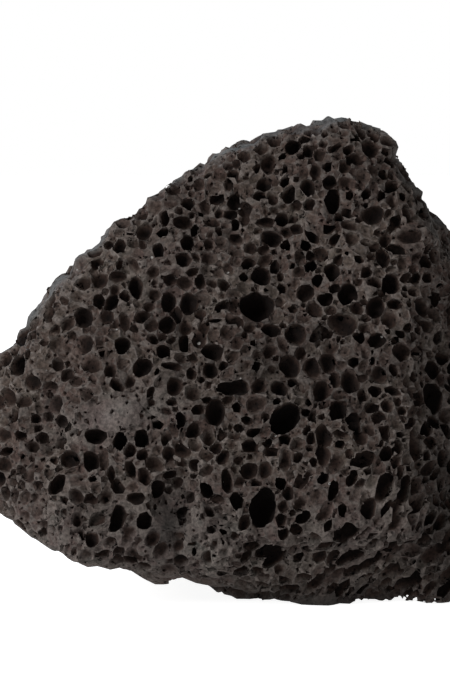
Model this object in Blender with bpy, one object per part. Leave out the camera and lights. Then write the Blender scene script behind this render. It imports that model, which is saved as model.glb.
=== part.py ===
"""Lava rock: a fist-sized wedge of bubbly basalt that stands on a flat underside.

Run with: blender --background --python part.py

The stone is one solid. Its form is a block with many broken faces, rounded where they meet and
made uneven by lumps. Burst gas bubbles are then cut from its skin. The large ones are here, and
the foam of small ones between them is left to the finish.

Metres, +Z up. The broad front face looks along -Y, and the origin is under the middle of the
stone, in the plane that it rests on. The sizes below are in millimetres.
"""

import math

import bmesh
import bpy
import numpy as np
from mathutils import Matrix, Vector

MM = 0.001

# ---------------------------------------------------------------- driving dimensions

HEART = np.array((2.0, 0.0, 37.0))  # the point inside the stone that its faces are measured from
MEAN_REACH = 42.0  # a typical distance from the heart to the skin
EDGE_SHARPNESS = 22  # a higher power leaves the edges between faces sharper

# Broken faces: the way each one looks, and its distance from the heart.
BROKEN_FACES = {
    "upper left, low": ((-0.728, 0.10, 0.686), 36.2),
    "upper left, high": ((-0.525, 0.22, 0.851), 38.0),
    "crest, left": ((-0.307, 0.05, 0.952), 41.5),
    "crest, top": ((0.10, -0.10, 0.995), 49.3),
    "crest, right": ((0.565, 0.05, 0.825), 52.8),
    "right, high": ((0.860, 0.00, 0.510), 42.1),
    "right, middle": ((0.902, 0.20, 0.431), 44.0),
    "right, low": ((0.955, 0.10, 0.298), 45.0),
    "right, foot": ((0.80, 0.10, -0.60), 52.8),
    "underside": ((0.0, 0.0, -1.0), 38.6),
    "under the left": ((-0.230, -0.06, -0.971), 38.0),
    "under the left end": ((-0.384, 0.02, -0.923), 37.6),
    "left end, low": ((-0.843, 0.10, -0.537), 51.0),
    "left end, high": ((-0.871, 0.10, 0.491), 47.2),
    "front": ((-0.06, -0.96, 0.26), 27.0),
    "front, left": ((-0.62, -0.76, 0.15), 42.0),
    "front, right": ((0.70, -0.70, 0.12), 37.5),
    "front, low": ((0.10, -0.80, -0.60), 41.4),
    "front, crest": ((0.10, -0.60, 0.80), 46.0),
    "back": ((0.12, 0.985, 0.10), 29.0),
    "back, left": ((-0.66, 0.72, 0.20), 36.0),
    "back, right": ((0.60, 0.79, 0.05), 39.0),
    "back, crest": ((-0.05, 0.62, 0.78), 37.0),
    "back, low": ((-0.10, 0.66, -0.74), 42.0),
}

# Lumps all over: wavelength, height, number of waves.
LUMP_BANDS = ((34.0, 0.60, 8), (15.0, 0.45, 10), (8.0, 0.28, 14))
WAVELENGTH_SPREAD = 0.25
LUMP_SEED = 7

# Knobs (height above the skin) and dents (below it): place, height, reach.
KNOBS = (
    ((26.5, 6.0, 78.0), 1.6, 4.0),
    ((-41.0, 4.0, 46.5), 1.8, 3.0),
    ((7.0, -8.0, 83.0), -2.2, 6.0),
    ((34.5, 2.0, 70.0), -1.6, 4.0),
    ((-14.0, -15.0, 73.0), -1.4, 4.0),
)

SKIN_ROUNDS = 8  # times the reach is worked out again where it has got to
SKIN_CUTS = 5  # icosphere subdivisions of the blank
SKIN_SHARE = 0.36  # share of the blank's triangles that the stone keeps

# The front's pits are laid out on an upright sheet through Y = 0 and thrown onto the face from an
# eye half a metre in front of it: across, up, wide, high, lean of the upright axis to the right in
# degrees.
EYE = np.array((-3.6, -498.8, 79.3))
FRONT_PITS = (
    # crown
    (4.3, 75.4, 3.0, 3.6, 0),
    (15.4, 68.6, 3.6, 5.0, 0),
    (22.7, 66.8, 3.9, 3.6, 0),
    (29.5, 66.6, 2.7, 3.4, 0),
    (4.5, 62.0, 3.2, 3.0, 0),
    (-10.5, 61.3, 2.5, 3.2, 0),
    # upper middle
    (2.0, 49.8, 6.2, 5.2, 0),
    (2.9, 55.4, 3.4, 3.6, 0),
    (15.4, 56.1, 3.4, 3.6, 0),
    (18.2, 52.1, 3.4, 3.9, 0),
    (23.2, 49.8, 3.4, 3.8, 0),
    (26.6, 54.1, 3.8, 4.1, 0),
    (24.6, 59.1, 2.5, 3.9, 0),
    (31.8, 49.8, 3.2, 3.4, 0),
    (17.5, 46.8, 5.4, 4.2, 20),
    (9.3, 45.2, 3.8, 3.8, 0),
    (4.8, 45.7, 3.8, 2.7, 0),
    (23.8, 43.4, 3.2, 2.9, 0),
    # left shoulder
    (-10.2, 50.4, 2.9, 3.6, 0),
    (-13.8, 50.7, 2.7, 3.6, 0),
    (-21.5, 47.2, 2.3, 3.6, 0),
    (-28.4, 43.0, 3.2, 3.2, 0),
    (-21.8, 42.8, 3.4, 3.0, 0),
    (-14.1, 41.8, 2.7, 3.2, 0),
    (-5.7, 41.9, 3.9, 2.9, 0),
    (-40.9, 39.6, 3.9, 3.6, 0),
    # middle
    (-2.3, 35.4, 5.9, 3.0, 0),
    (-5.5, 30.7, 3.6, 5.0, 0),
    (7.0, 29.8, 5.0, 6.4, 35),
    (8.0, 39.3, 3.8, 4.1, 0),
    (15.0, 40.0, 3.6, 3.6, 0),
    (18.9, 36.6, 3.4, 4.6, 0),
    (16.8, 31.1, 3.0, 4.4, 0),
    (24.1, 37.5, 2.7, 3.0, 0),
    (33.6, 33.6, 4.5, 5.9, 0),
    (30.5, 25.4, 3.0, 5.7, 0),
    # lower left
    (-26.6, 26.6, 4.0, 2.7, 0),
    (-22.3, 25.7, 2.5, 3.8, 0),
    (-18.6, 26.3, 3.0, 3.4, 0),
    (-27.8, 22.0, 3.0, 3.7, 0),
    (-31.8, 22.3, 3.2, 3.0, 0),
    (-18.0, 19.1, 2.7, 3.4, 0),
    (-19.8, 15.4, 3.2, 2.4, 0),
    (-22.9, 11.7, 2.5, 4.8, 0),
    (-18.4, 11.4, 3.0, 3.4, 0),
    (-13.0, 15.0, 6.4, 8.4, 0),
    (-14.8, 5.8, 3.0, 2.8, 0),
    (-33.8, 17.9, 2.7, 4.0, 30),
    (-38.9, 19.8, 2.5, 2.7, 0),
    # lower right, drawn out along the flow
    (0.9, 24.8, 3.0, 2.8, 0),
    (3.5, 20.6, 3.0, 3.2, 0),
    (-2.9, 18.8, 2.5, 4.1, 0),
    (7.2, 22.4, 2.5, 4.2, 0),
    (3.2, 13.9, 4.8, 6.8, 0),
    (10.6, 19.0, 3.2, 3.2, 0),
    (15.9, 17.0, 2.3, 5.2, 25),
    (17.9, 9.3, 3.6, 6.2, 38),
    (4.6, 5.8, 3.4, 5.4, 50),
    (25.0, 17.5, 2.7, 6.0, 20),
    (29.0, 17.1, 2.5, 5.0, 20),
    (29.8, 5.8, 3.8, 3.8, 0),
)
PIT_DEPTH_SHARE = 0.55  # a pit's depth against its mean width
PIT_SINK_SHARE = 0.18  # how far below the skin a bubble's middle lies, against its depth
PIT_SIDES = 8
SMALL_PIT_SIDES = 6
SMALL_PIT_RADIUS = 2.1
PIT_RINGS = 4
SMALL_PIT_RINGS = 3

# Pits on the other sides come from a seeded scatter, largest first.
SCATTER_SEED = 23
SCATTER_TRIES = 1500
SCATTER_PITS = 110
SCATTER_RADII = (3.5, 1.35)  # first and last
SCATTER_OVAL = 0.30  # how far a pit's sides differ
PIT_GAP = 0.7  # the least stone left between two pits
FRONT_LIMIT = -0.45  # a skin that looks this far towards -Y belongs to the front
FOOT_RADIUS = 13.0  # the middle of the underside stays whole, to rest on
FOOT_MARGIN = 1.0

FOOT_CENTRE = (19.0, 1.0)
SLAB_SIZE = 200.0
SLAB_THICKNESS = 30.0

STONE_COLOUR = (0.056, 0.047, 0.042, 1.0)
STONE_ROUGHNESS = 0.92


# ---------------------------------------------------------------- the form of the stone


def unit(vectors):
    """The vectors, each at length 1."""
    vectors = np.asarray(vectors, float)
    return vectors / np.linalg.norm(vectors, axis=-1, keepdims=True)


FACE_NORMALS = unit([normal for normal, distance in BROKEN_FACES.values()])
FACE_DISTANCES = np.array([distance for normal, distance in BROKEN_FACES.values()])


def lump_waves():
    """Seeded waves of all directions: (wave vector, phase, height) of each."""
    random = np.random.default_rng(LUMP_SEED)
    waves = []
    for wavelength, height, count in LUMP_BANDS:
        for _ in range(count):
            direction = unit(random.normal(size=3))
            spread = random.uniform(1 - WAVELENGTH_SPREAD, 1 + WAVELENGTH_SPREAD)
            vector = direction * 2 * math.pi / (wavelength * spread)
            phase = random.uniform(0, 2 * math.pi)
            waves.append((vector, phase, height * math.sqrt(2 / count)))
    return waves


WAVES = lump_waves()


def block(offsets):
    """The rounded block: 1 on its skin, less inside. It is a power mean of how far out of each
    broken face a point lies, so the largest share rules and the edges round off."""
    shares = np.maximum(offsets @ FACE_NORMALS.T / FACE_DISTANCES, 0)
    return (shares**EDGE_SHARPNESS).sum(-1) ** (1 / EDGE_SHARPNESS)


def lumps(points):
    """How far the skin stands proud at each point, from the waves and the knobs."""
    height = np.zeros(points.shape[:-1])
    for vector, phase, size in WAVES:
        height += size * np.cos(points @ vector + phase)
    for place, size, reach in KNOBS:
        squared = ((points - np.array(place)) ** 2).sum(-1)
        height += size * np.exp(-squared / (2 * reach**2))
    return height


def stone(points):
    """Below 0 inside the stone, 0 on its skin, more outside."""
    return block(points - HEART) - 1 - lumps(points) / MEAN_REACH


def on_skin(directions):
    """Where rays from the heart leave the stone."""
    reach = MEAN_REACH / block(directions * MEAN_REACH)
    for _ in range(SKIN_ROUNDS):
        points = HEART + directions * reach[:, None]
        reach = (1 + lumps(points) / MEAN_REACH) / block(directions)
    return HEART + directions * reach[:, None]


def outward(points, step=0.5):
    """The skin's normals, from the slope of the form."""
    slopes = []
    for axis in np.eye(3) * step:
        slopes.append(stone(points + axis) - stone(points - axis))
    return unit(np.stack(slopes, -1))


def thrown_onto_front(across, up):
    """Where lines from the eye through the upright sheet first meet the stone."""
    sheet = np.stack([across, np.zeros_like(across), up], -1)
    depths = np.linspace(-48.0, 24.0, 289)
    lines = unit(sheet - EYE)
    starts = EYE - lines * (EYE[1] / lines[:, 1:2])
    points = starts[:, None] + lines[:, None] * (depths[:, None] / lines[:, None, 1:2])
    first = np.argmax(stone(points) < 0, axis=1)
    return points[np.arange(len(points)), first]


# ---------------------------------------------------------------- pits


def scattered_pits(taken, taken_radii):
    """Seeded pits on every side but the front: places and radii, none nearer than PIT_GAP."""
    random = np.random.default_rng(SCATTER_SEED)
    places = on_skin(unit(random.normal(size=(SCATTER_TRIES, 3))))
    sides = outward(places)
    foot_offset = np.hypot(places[:, 0] - FOOT_CENTRE[0], places[:, 1] - FOOT_CENTRE[1])
    near_foot = (places[:, 2] < FOOT_MARGIN) & (foot_offset < FOOT_RADIUS)
    places[:, 2] = np.maximum(places[:, 2], 0)
    free = (sides[:, 1] > FRONT_LIMIT) & ~near_foot
    radii = np.geomspace(*SCATTER_RADII, SCATTER_PITS)
    for place in places[free]:
        if len(taken_radii) == len(FRONT_PITS) + SCATTER_PITS:
            break
        radius = radii[len(taken_radii) - len(FRONT_PITS)]
        gaps = np.linalg.norm(np.array(taken) - place, axis=1) - taken_radii - radius
        if gaps.min() > PIT_GAP:
            taken.append(place)
            taken_radii.append(radius)
    return np.array(taken[len(FRONT_PITS) :]), np.array(taken_radii[len(FRONT_PITS) :])


def pit_frame(place, normal, lean):
    """A frame on the skin: X across it, Y up it leaning to the right, Z out of it."""
    normal = Vector(normal)
    across = Vector((0, 0, 1)).cross(normal)
    if across.length < 0.2:
        across = Vector((1, 0, 0)).cross(normal)
    across.normalize()
    up = normal.cross(across)
    turned = Matrix((across, up, normal)).transposed().to_4x4()
    return Matrix.Translation(place) @ turned @ Matrix.Rotation(-math.radians(lean), 4, "Z")


def add_bubble(mesh, frame, radii):
    """A bubble in a frame: a ball of few sides, stretched to three radii and sunk a little, so
    that its walls lean over its floor."""
    sunk = Matrix.Translation((0.0, 0.0, -PIT_SINK_SHARE * radii[2]))
    in_metres = Matrix.Scale(MM, 4) @ frame @ sunk @ Matrix.Diagonal((*radii, 1.0))
    small = max(radii) < SMALL_PIT_RADIUS
    bmesh.ops.create_uvsphere(
        mesh,
        u_segments=SMALL_PIT_SIDES if small else PIT_SIDES,
        v_segments=SMALL_PIT_RINGS if small else PIT_RINGS,
        radius=1.0,
        matrix=in_metres,
    )


def add_front_bubbles(mesh):
    """The front's bubbles, as laid out. It gives their places and radii."""
    rows = np.array(FRONT_PITS, float)
    places = thrown_onto_front(rows[:, 0], rows[:, 1])
    normals = outward(places)
    for place, normal, (_, _, wide, high, lean) in zip(places, normals, rows):
        depth = PIT_DEPTH_SHARE * (wide + high) / 2
        add_bubble(mesh, pit_frame(place, normal, lean), (wide / 2, high / 2, depth))
    return list(places), list(rows[:, 2:4].max(1) / 2)


def add_scattered_bubbles(mesh, places, radii):
    """The scattered bubbles, each a little oval and leaning its own way."""
    random = np.random.default_rng(SCATTER_SEED + 1)
    for place, normal, radius in zip(places, outward(places), radii):
        oval = random.uniform(1 - SCATTER_OVAL, 1)
        lean = random.uniform(0, 180)
        if place[2] == 0:
            normal = (0.0, 0.0, -1.0)
        add_bubble(mesh, pit_frame(place, normal, lean), (radius, radius * oval, radius))


# ---------------------------------------------------------------- Blender objects


def clear_scene():
    for old in list(bpy.data.objects):
        bpy.data.objects.remove(old, do_unlink=True)


def new_collection(name):
    collection = bpy.data.collections.new(name)
    bpy.context.scene.collection.children.link(collection)
    return collection


def new_object(name, mesh, collection):
    """An object that holds a finished bmesh."""
    data = bpy.data.meshes.new(name)
    mesh.to_mesh(data)
    mesh.free()
    made = bpy.data.objects.new(name, data)
    collection.objects.link(made)
    return made


def as_cutter(made):
    made.hide_render = True
    made.display_type = "WIRE"
    return made


def stone_material():
    material = bpy.data.materials.new("dark_basalt")
    material.use_nodes = True
    shader = material.node_tree.nodes["Principled BSDF"]
    shader.inputs["Base Color"].default_value = STONE_COLOUR
    shader.inputs["Roughness"].default_value = STONE_ROUGHNESS
    shader.inputs["Metallic"].default_value = 0.0
    return material


def blank(collection):
    """The stone before it is cut: a ball whose every vertex is moved out or in to the skin."""
    mesh = bmesh.new()
    bmesh.ops.create_icosphere(mesh, subdivisions=SKIN_CUTS, radius=1.0)
    directions = unit([vertex.co for vertex in mesh.verts])
    for vertex, place in zip(mesh.verts, on_skin(directions)):
        vertex.co = Vector(place) * MM
    return new_object("lava_rock", mesh, collection)


def underside_slab(collection):
    """Cuts the flat that the stone rests on."""
    mesh = bmesh.new()
    size = Matrix.Diagonal((SLAB_SIZE * MM, SLAB_SIZE * MM, SLAB_THICKNESS * MM, 1.0))
    middle = Matrix.Translation((0.0, 0.0, -SLAB_THICKNESS * MM / 2))
    bmesh.ops.create_cube(mesh, size=1.0, matrix=middle @ size)
    return as_cutter(new_object("underside_cutter", mesh, collection))


def bubbles(collection):
    """Every bubble that is cut from the skin, as one cutter."""
    mesh = bmesh.new()
    taken, taken_radii = add_front_bubbles(mesh)
    places, radii = scattered_pits(taken, taken_radii)
    add_scattered_bubbles(mesh, places, radii)
    return as_cutter(new_object("bubble_cutter", mesh, collection))


def cut_away(body, cutter):
    boolean = body.modifiers.new(cutter.name, "BOOLEAN")
    boolean.operation = "DIFFERENCE"
    boolean.solver = "EXACT"
    boolean.object = cutter


def main():
    clear_scene()
    parts = new_collection("lava_rock")
    cutters = new_collection("cutters")
    body = blank(parts)
    body.data.materials.append(stone_material())
    thinning = body.modifiers.new("even_out", "DECIMATE")
    thinning.ratio = SKIN_SHARE
    cut_away(body, underside_slab(cutters))
    cut_away(body, bubbles(cutters))


main()
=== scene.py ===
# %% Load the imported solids
import math
import time

import bpy
import numpy as np
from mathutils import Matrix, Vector


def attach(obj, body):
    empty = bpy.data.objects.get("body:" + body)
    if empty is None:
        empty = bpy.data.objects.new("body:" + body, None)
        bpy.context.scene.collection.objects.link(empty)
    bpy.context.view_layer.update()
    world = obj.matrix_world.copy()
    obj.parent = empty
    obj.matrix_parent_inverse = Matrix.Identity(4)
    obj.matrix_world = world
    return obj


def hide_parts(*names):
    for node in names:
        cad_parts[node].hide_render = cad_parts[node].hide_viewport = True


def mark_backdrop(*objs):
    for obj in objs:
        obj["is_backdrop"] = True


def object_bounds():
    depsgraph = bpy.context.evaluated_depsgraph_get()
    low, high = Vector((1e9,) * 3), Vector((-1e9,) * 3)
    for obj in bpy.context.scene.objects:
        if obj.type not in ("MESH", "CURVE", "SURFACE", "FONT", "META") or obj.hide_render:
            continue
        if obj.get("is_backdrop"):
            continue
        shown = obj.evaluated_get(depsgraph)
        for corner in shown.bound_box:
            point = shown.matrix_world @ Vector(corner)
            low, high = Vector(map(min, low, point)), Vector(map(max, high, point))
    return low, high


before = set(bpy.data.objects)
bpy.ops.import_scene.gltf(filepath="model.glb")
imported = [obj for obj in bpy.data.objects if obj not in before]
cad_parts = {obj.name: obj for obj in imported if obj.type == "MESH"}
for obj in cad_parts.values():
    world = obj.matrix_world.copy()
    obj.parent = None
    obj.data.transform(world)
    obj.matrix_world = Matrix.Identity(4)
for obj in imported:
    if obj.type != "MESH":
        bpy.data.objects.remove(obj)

MM = 0.001
started = time.time()
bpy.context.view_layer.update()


def lap(words):
    """Prints what was made, and how long the script has run."""
    print(f"{time.time() - started:6.1f} s  {words}")


def new_object(name, data):
    """An object that holds this data, put into the scene."""
    made = bpy.data.objects.new(name, data)
    bpy.context.scene.collection.objects.link(made)
    return made


# %% [markdown]
# # A lava rock
#
# A lava rock is a foam that froze. Gas bubbles grew in the melt until only thin walls of basalt
# stood between them, and when the stone broke off, the break cut the bubbles open. So its
# surface is all open cells: deep dark ones, shallow dishes, small ones in the walls of large
# ones, and between them narrow wall tops.
#
# A surface that is a sheet over two parameters can't have the caves under such walls. The
# stone is therefore built as a field: at every point of a fine grid of samples, a number says
# how far that point lies outside the stone, in millimetres. Fields are easy to combine. The
# larger of two fields is what both keep, and a bubble is cut by its own field turned round. At
# the end a mesh is stretched over the places where the number is zero.

# %% [markdown]
# ## The form of the stone
#
# The wedge with its broken faces could be pushed about by hand, but then the solids and this
# finish would drift apart. The same named faces and lumps that make the solids make the field,
# so the two agree by themselves. Sizes are in millimetres until the very end.

# %% Broken faces, lumps and knobs
HEART = np.array((2.0, 0.0, 37.0))  # the point inside the stone that its faces are measured from
MEAN_REACH = 42.0  # a typical distance from the heart to the skin
EDGE_SHARPNESS = 22  # a higher power leaves the edges between faces sharper

# The way each broken face looks, and its distance from the heart.
BROKEN_FACES = {
    "upper left, low": ((-0.728, 0.10, 0.686), 36.2),
    "upper left, high": ((-0.525, 0.22, 0.851), 38.0),
    "crest, left": ((-0.307, 0.05, 0.952), 41.5),
    "crest, top": ((0.10, -0.10, 0.995), 49.3),
    "crest, right": ((0.565, 0.05, 0.825), 52.8),
    "right, high": ((0.860, 0.00, 0.510), 42.1),
    "right, middle": ((0.902, 0.20, 0.431), 44.0),
    "right, low": ((0.955, 0.10, 0.298), 45.0),
    "right, foot": ((0.80, 0.10, -0.60), 52.8),
    "underside": ((0.0, 0.0, -1.0), 38.6),
    "under the left": ((-0.230, -0.06, -0.971), 38.0),
    "under the left end": ((-0.384, 0.02, -0.923), 37.6),
    "left end, low": ((-0.843, 0.10, -0.537), 51.0),
    "left end, high": ((-0.871, 0.10, 0.491), 47.2),
    "front": ((-0.06, -0.96, 0.26), 27.0),
    "front, left": ((-0.62, -0.76, 0.15), 42.0),
    "front, right": ((0.70, -0.70, 0.12), 37.5),
    "front, low": ((0.10, -0.80, -0.60), 41.4),
    "front, crest": ((0.10, -0.60, 0.80), 46.0),
    "back": ((0.12, 0.985, 0.10), 29.0),
    "back, left": ((-0.66, 0.72, 0.20), 36.0),
    "back, right": ((0.60, 0.79, 0.05), 39.0),
    "back, crest": ((-0.05, 0.62, 0.78), 37.0),
    "back, low": ((-0.10, 0.66, -0.74), 42.0),
}

# Lumps all over: wavelength, height, number of waves.
LUMP_BANDS = ((34.0, 0.60, 8), (15.0, 0.45, 10), (8.0, 0.28, 14))
WAVELENGTH_SPREAD = 0.25
LUMP_SEED = 7

# Knobs (height above the skin) and dents (below it): place, height, reach.
KNOBS = (
    ((26.5, 6.0, 78.0), 1.6, 4.0),
    ((-41.0, 4.0, 46.5), 1.8, 3.0),
    ((7.0, -8.0, 83.0), -2.2, 6.0),
    ((34.5, 2.0, 70.0), -1.6, 4.0),
    ((-14.0, -15.0, 73.0), -1.4, 4.0),
)
print(len(BROKEN_FACES), "broken faces,", len(KNOBS), "knobs and dents")


# %% The form as a field
def unit(vectors):
    """The vectors, each divided by its own length."""
    vectors = np.asarray(vectors, float)
    return vectors / np.linalg.norm(vectors, axis=-1, keepdims=True)


def lump_waves():
    """Seeded waves of all directions: (wave vector, phase, height) of each. A wave vector is the
    direction times a full turn over the wavelength."""
    random = np.random.default_rng(LUMP_SEED)
    waves = []
    for wavelength, height, count in LUMP_BANDS:
        for _ in range(count):
            direction = unit(random.normal(size=3))
            spread = random.uniform(1 - WAVELENGTH_SPREAD, 1 + WAVELENGTH_SPREAD)
            vector = direction * 2 * math.pi / (wavelength * spread)
            phase = random.uniform(0, 2 * math.pi)
            waves.append((vector, phase, height * math.sqrt(2 / count)))
    return waves


FACE_NORMALS = unit([normal for normal, distance in BROKEN_FACES.values()])
FACE_DISTANCES = np.array([distance for normal, distance in BROKEN_FACES.values()])
WAVES = lump_waves()


def block(offsets):
    """The rounded block, 1 on its skin: how far a point lies out along each face's normal, as a
    share of that face's distance, raised to a high power, summed, and the root taken again."""
    shares = np.maximum(offsets @ FACE_NORMALS.T / FACE_DISTANCES, 0)
    return (shares**EDGE_SHARPNESS).sum(-1) ** (1 / EDGE_SHARPNESS)


def lumps(points):
    """How far the skin stands proud: a sum of cosines along the wave vectors, and for each knob
    its height times e to the minus half the squared distance over its squared reach."""
    height = np.zeros(points.shape[:-1])
    for vector, phase, size in WAVES:
        height += size * np.cos(points @ vector + phase)
    for place, size, reach in KNOBS:
        squared = ((points - np.array(place)) ** 2).sum(-1)
        height += size * np.exp(-squared / (2 * reach**2))
    return height


def stone(points):
    """Below 0 inside the stone, 0 on its skin, more outside: the block less 1, less the lumps."""
    return block(points - HEART) - 1 - lumps(points) / MEAN_REACH


def outward(points, step=0.5):
    """The skin's normals: the differences of the form over a small step along each axis."""
    slopes = []
    for axis in np.eye(3) * step:
        slopes.append(stone(points + axis) - stone(points - axis))
    return unit(np.stack(slopes, -1))


cad_points = np.empty(3 * len(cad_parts["lava_rock"].data.vertices))
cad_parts["lava_rock"].data.vertices.foreach_get("co", cad_points)
proud = stone(cad_points.reshape(-1, 3) / MM) * MEAN_REACH
print(f"the solids' corners lie up to {proud.max():.2f} mm outside this form")


# %% [markdown]
# ## A grid of samples
#
# The form changes slowly, so it is worked out on every fourth sample only and filled in
# between. Dividing it by its own slope turns it into a distance in millimetres, which makes the
# depth of a bubble or the width of a wall mean the same everywhere.

# %% The grid, and a finer copy of a coarse one
CELL = 0.32  # between two samples
COARSE = 4  # fine steps in a coarse one
BLOCK = 16  # the steps come in blocks of this many, so that each patch of noise fits in whole
GRID_LOW = np.array((-56.0, -37.0, -2.0))
GRID_HIGH = np.array((57.5, 37.5, 86.5))
GRID_STEPS = np.ceil((GRID_HIGH - GRID_LOW) / (CELL * BLOCK)).astype(int) * BLOCK


def grid_axes(every=1):
    """Where the samples lie along each of the three axes: all of them, or every so many."""
    return [
        low + CELL * every * np.arange(steps // every + 1)
        for low, steps in zip(GRID_LOW, GRID_STEPS)
    ]


def refined(samples, factor, smooth=False):
    """The samples on a grid that is factor times finer. Along each axis in turn, a new value
    lies between its two neighbours: a share t of the way, or 3t² - 2t³ where smooth."""
    for axis in (2, 1, 0):
        first = np.moveaxis(samples, axis, 0)
        last = len(first) - 1
        made = np.empty((last * factor + 1,) + first.shape[1:], np.float32)
        for step in range(factor):
            t = step / factor
            t = np.float32(t * t * (3 - 2 * t) if smooth else t)
            made[step::factor][:last] = first[:-1] * (1 - t) + first[1:] * t
        made[-1] = first[-1]
        samples = np.moveaxis(made, 0, axis)
    return np.ascontiguousarray(samples)


def soft_noise(factor, seed):
    """A smooth random field of spread 1: seeded values on every factor-th sample, eased between."""
    lattice = np.random.default_rng(seed).normal(size=GRID_STEPS // factor + 1)
    noise = refined(lattice.astype(np.float32), factor, smooth=True)
    return noise / noise.std()


print("grid:", " x ".join(str(n + 1) for n in GRID_STEPS), "samples")

# %% The body: distance outside the skin
coarse_points = np.stack(np.meshgrid(*grid_axes(COARSE), indexing="ij"), -1)
form = stone(coarse_points)
slopes = np.stack(np.gradient(form, CELL * COARSE), -1)
slope = np.maximum(np.linalg.norm(slopes, axis=-1), 1e-3)
body = refined(form / slope, COARSE)
to_front = refined(-slopes[..., 1] / slope, COARSE)  # 1 where the skin looks at the front
upright = refined(np.abs(slopes[..., 2]) / slope, COARSE)  # 1 where it looks up or down
lap(f"body, {body.size / 1e6:.0f} million samples")

# %% [markdown]
# ### A weathered break
#
# Between the bubbles the break isn't smooth: it is chipped, and grainy at the finest scale.
# Noise added to a distance moves the skin in and out by that much, and three sizes of it are
# used. A few corners are then rubbed down, and the underside is cut flat, so that the stone
# still stands.

# %% Roughen the skin
ROUGHNESS = ((16, 0.34), (8, 0.24), (4, 0.12))  # size of a patch in samples, height in mm
NOISE_SEED = 31
for number, (factor, height) in enumerate(ROUGHNESS):
    body += height * soft_noise(factor, NOISE_SEED + number)
lap("roughened skin")

# %% Rub the corners and flatten the underside
# Corners rubbed away: place, depth in mm (below 0 where stone is added), reach.
RUBBED_CORNERS = (
    ((26.0, 3.5, 80.8), 1.9, 2.8),
    ((22.8, 6.0, 81.6), 0.9, 3.2),
    ((27.4, 3.0, 76.4), -0.8, 2.6),
    ((19.6, 1.0, 83.0), -0.7, 2.4),
    ((11.0, 0.0, 83.4), 1.7, 2.4),
    ((-40.8, 4.0, 46.0), 0.6, 3.2),
)
fine_axes = grid_axes()
rubbed_here = np.zeros(body.shape, np.float32)
for place, taken, reach in RUBBED_CORNERS:
    x, y, z = np.ix_(*[axis.astype(np.float32) - c for axis, c in zip(fine_axes, place)])
    near = np.exp(-(x * x + y * y + z * z) / (2 * reach**2))
    body += taken * near
    np.maximum(rubbed_here, near, out=rubbed_here)
body = np.maximum(body, -fine_axes[2].astype(np.float32))
lap("rubbed corners, flat underside")

# %% Where the stone is worn: at its corners and along its upper and lower outline
WORN_AT = 0.14  # to_front where the skin is worn most
WORN_REACH = 0.21  # how far to_front may differ from that before the wear is mostly gone
STEEP, LEVEL = 0.28, 0.66  # upright where the wear starts and where it is full
worn = np.exp(-(((to_front - WORN_AT) / WORN_REACH) ** 2))
worn *= np.clip((upright - STEEP) / (LEVEL - STEEP), 0, 1)
worn = np.maximum(worn, rubbed_here)
del upright, rubbed_here
print(f"{100 * (worn[np.abs(body) < CELL] > 0.5).mean():.0f} % of the skin is worn")

# %% [markdown]
# ## Bubbles
#
# Each bubble is an egg with three radii, turned its own way. Joining thousands of eggs with
# Booleans would take hours, but in a field each one only changes the samples near it. Two
# numbers are kept for every sample: the distance to the nearest bubble's skin and to the second
# nearest. Where the two are equal, the point lies midway between two bubbles, which is where
# the melt left a wall.

# %% Carve one bubble into the two fields
FAR = 3.0  # what a sample holds while no bubble is near
NEARLY_LEVEL = 0.2  # a skin more level than this has no way across it to start from
nearest = np.full(body.shape, FAR, np.float32)
second = np.full(body.shape, FAR, np.float32)
WALL_REACH = 0.9  # how far round a bubble its distance is written


def egg_samples(centre, axes, radii):
    """The samples near an egg, as slices, and their distance outside it. With d the distance
    from its centre, and k that distance with each axis divided by its radius, a point lies
    d(1 - 1/k) outside the egg."""
    reach = max(radii) + WALL_REACH
    first = np.maximum(((centre - reach - GRID_LOW) / CELL).astype(int), 0)
    last = np.minimum(((centre + reach - GRID_LOW) / CELL).astype(int) + 2, body.shape)
    last = np.maximum(last, first)
    x, y, z = np.ix_(*[
        (axis[a:b] - c).astype(np.float32) for axis, a, b, c in zip(fine_axes, first, last, centre)
    ])
    squared = x * x + y * y + z * z
    egg = 0
    for axis, radius in zip(axes, radii):
        a, b, c = (axis / radius).astype(np.float32)
        along = a * x + b * y + c * z
        egg = egg + along * along
    outside = np.sqrt(squared) * (1 - 1 / np.sqrt(np.maximum(egg, 1e-6)))
    return tuple(slice(low, high) for low, high in zip(first, last)), outside


def carve(centre, axes, radii):
    """Writes a bubble into the two fields."""
    there, outside = egg_samples(centre, axes, radii)
    np.minimum(second[there], np.maximum(nearest[there], outside), out=second[there])
    np.minimum(nearest[there], outside, out=nearest[there])


def hollow(centre, axes, radii):
    """Takes an egg out of the body itself, so that the foam goes on inside it."""
    there, outside = egg_samples(centre, axes, radii)
    np.maximum(body[there], -outside, out=body[there])


def skin_frame(normal, lean):
    """Three axes on the skin: across it, up it leaning to the right by lean degrees, and out."""
    across = np.cross((0.0, 0.0, 1.0), normal)
    if np.linalg.norm(across) < NEARLY_LEVEL:
        across = np.cross((1.0, 0.0, 0.0), normal)
    across = unit(across)
    up = np.cross(normal, across)
    turn = math.radians(-lean)
    return np.array((
        math.cos(turn) * across + math.sin(turn) * up,
        math.cos(turn) * up - math.sin(turn) * across,
        normal,
    ))


print(f"two fields, {FAR} mm everywhere so far")
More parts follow.
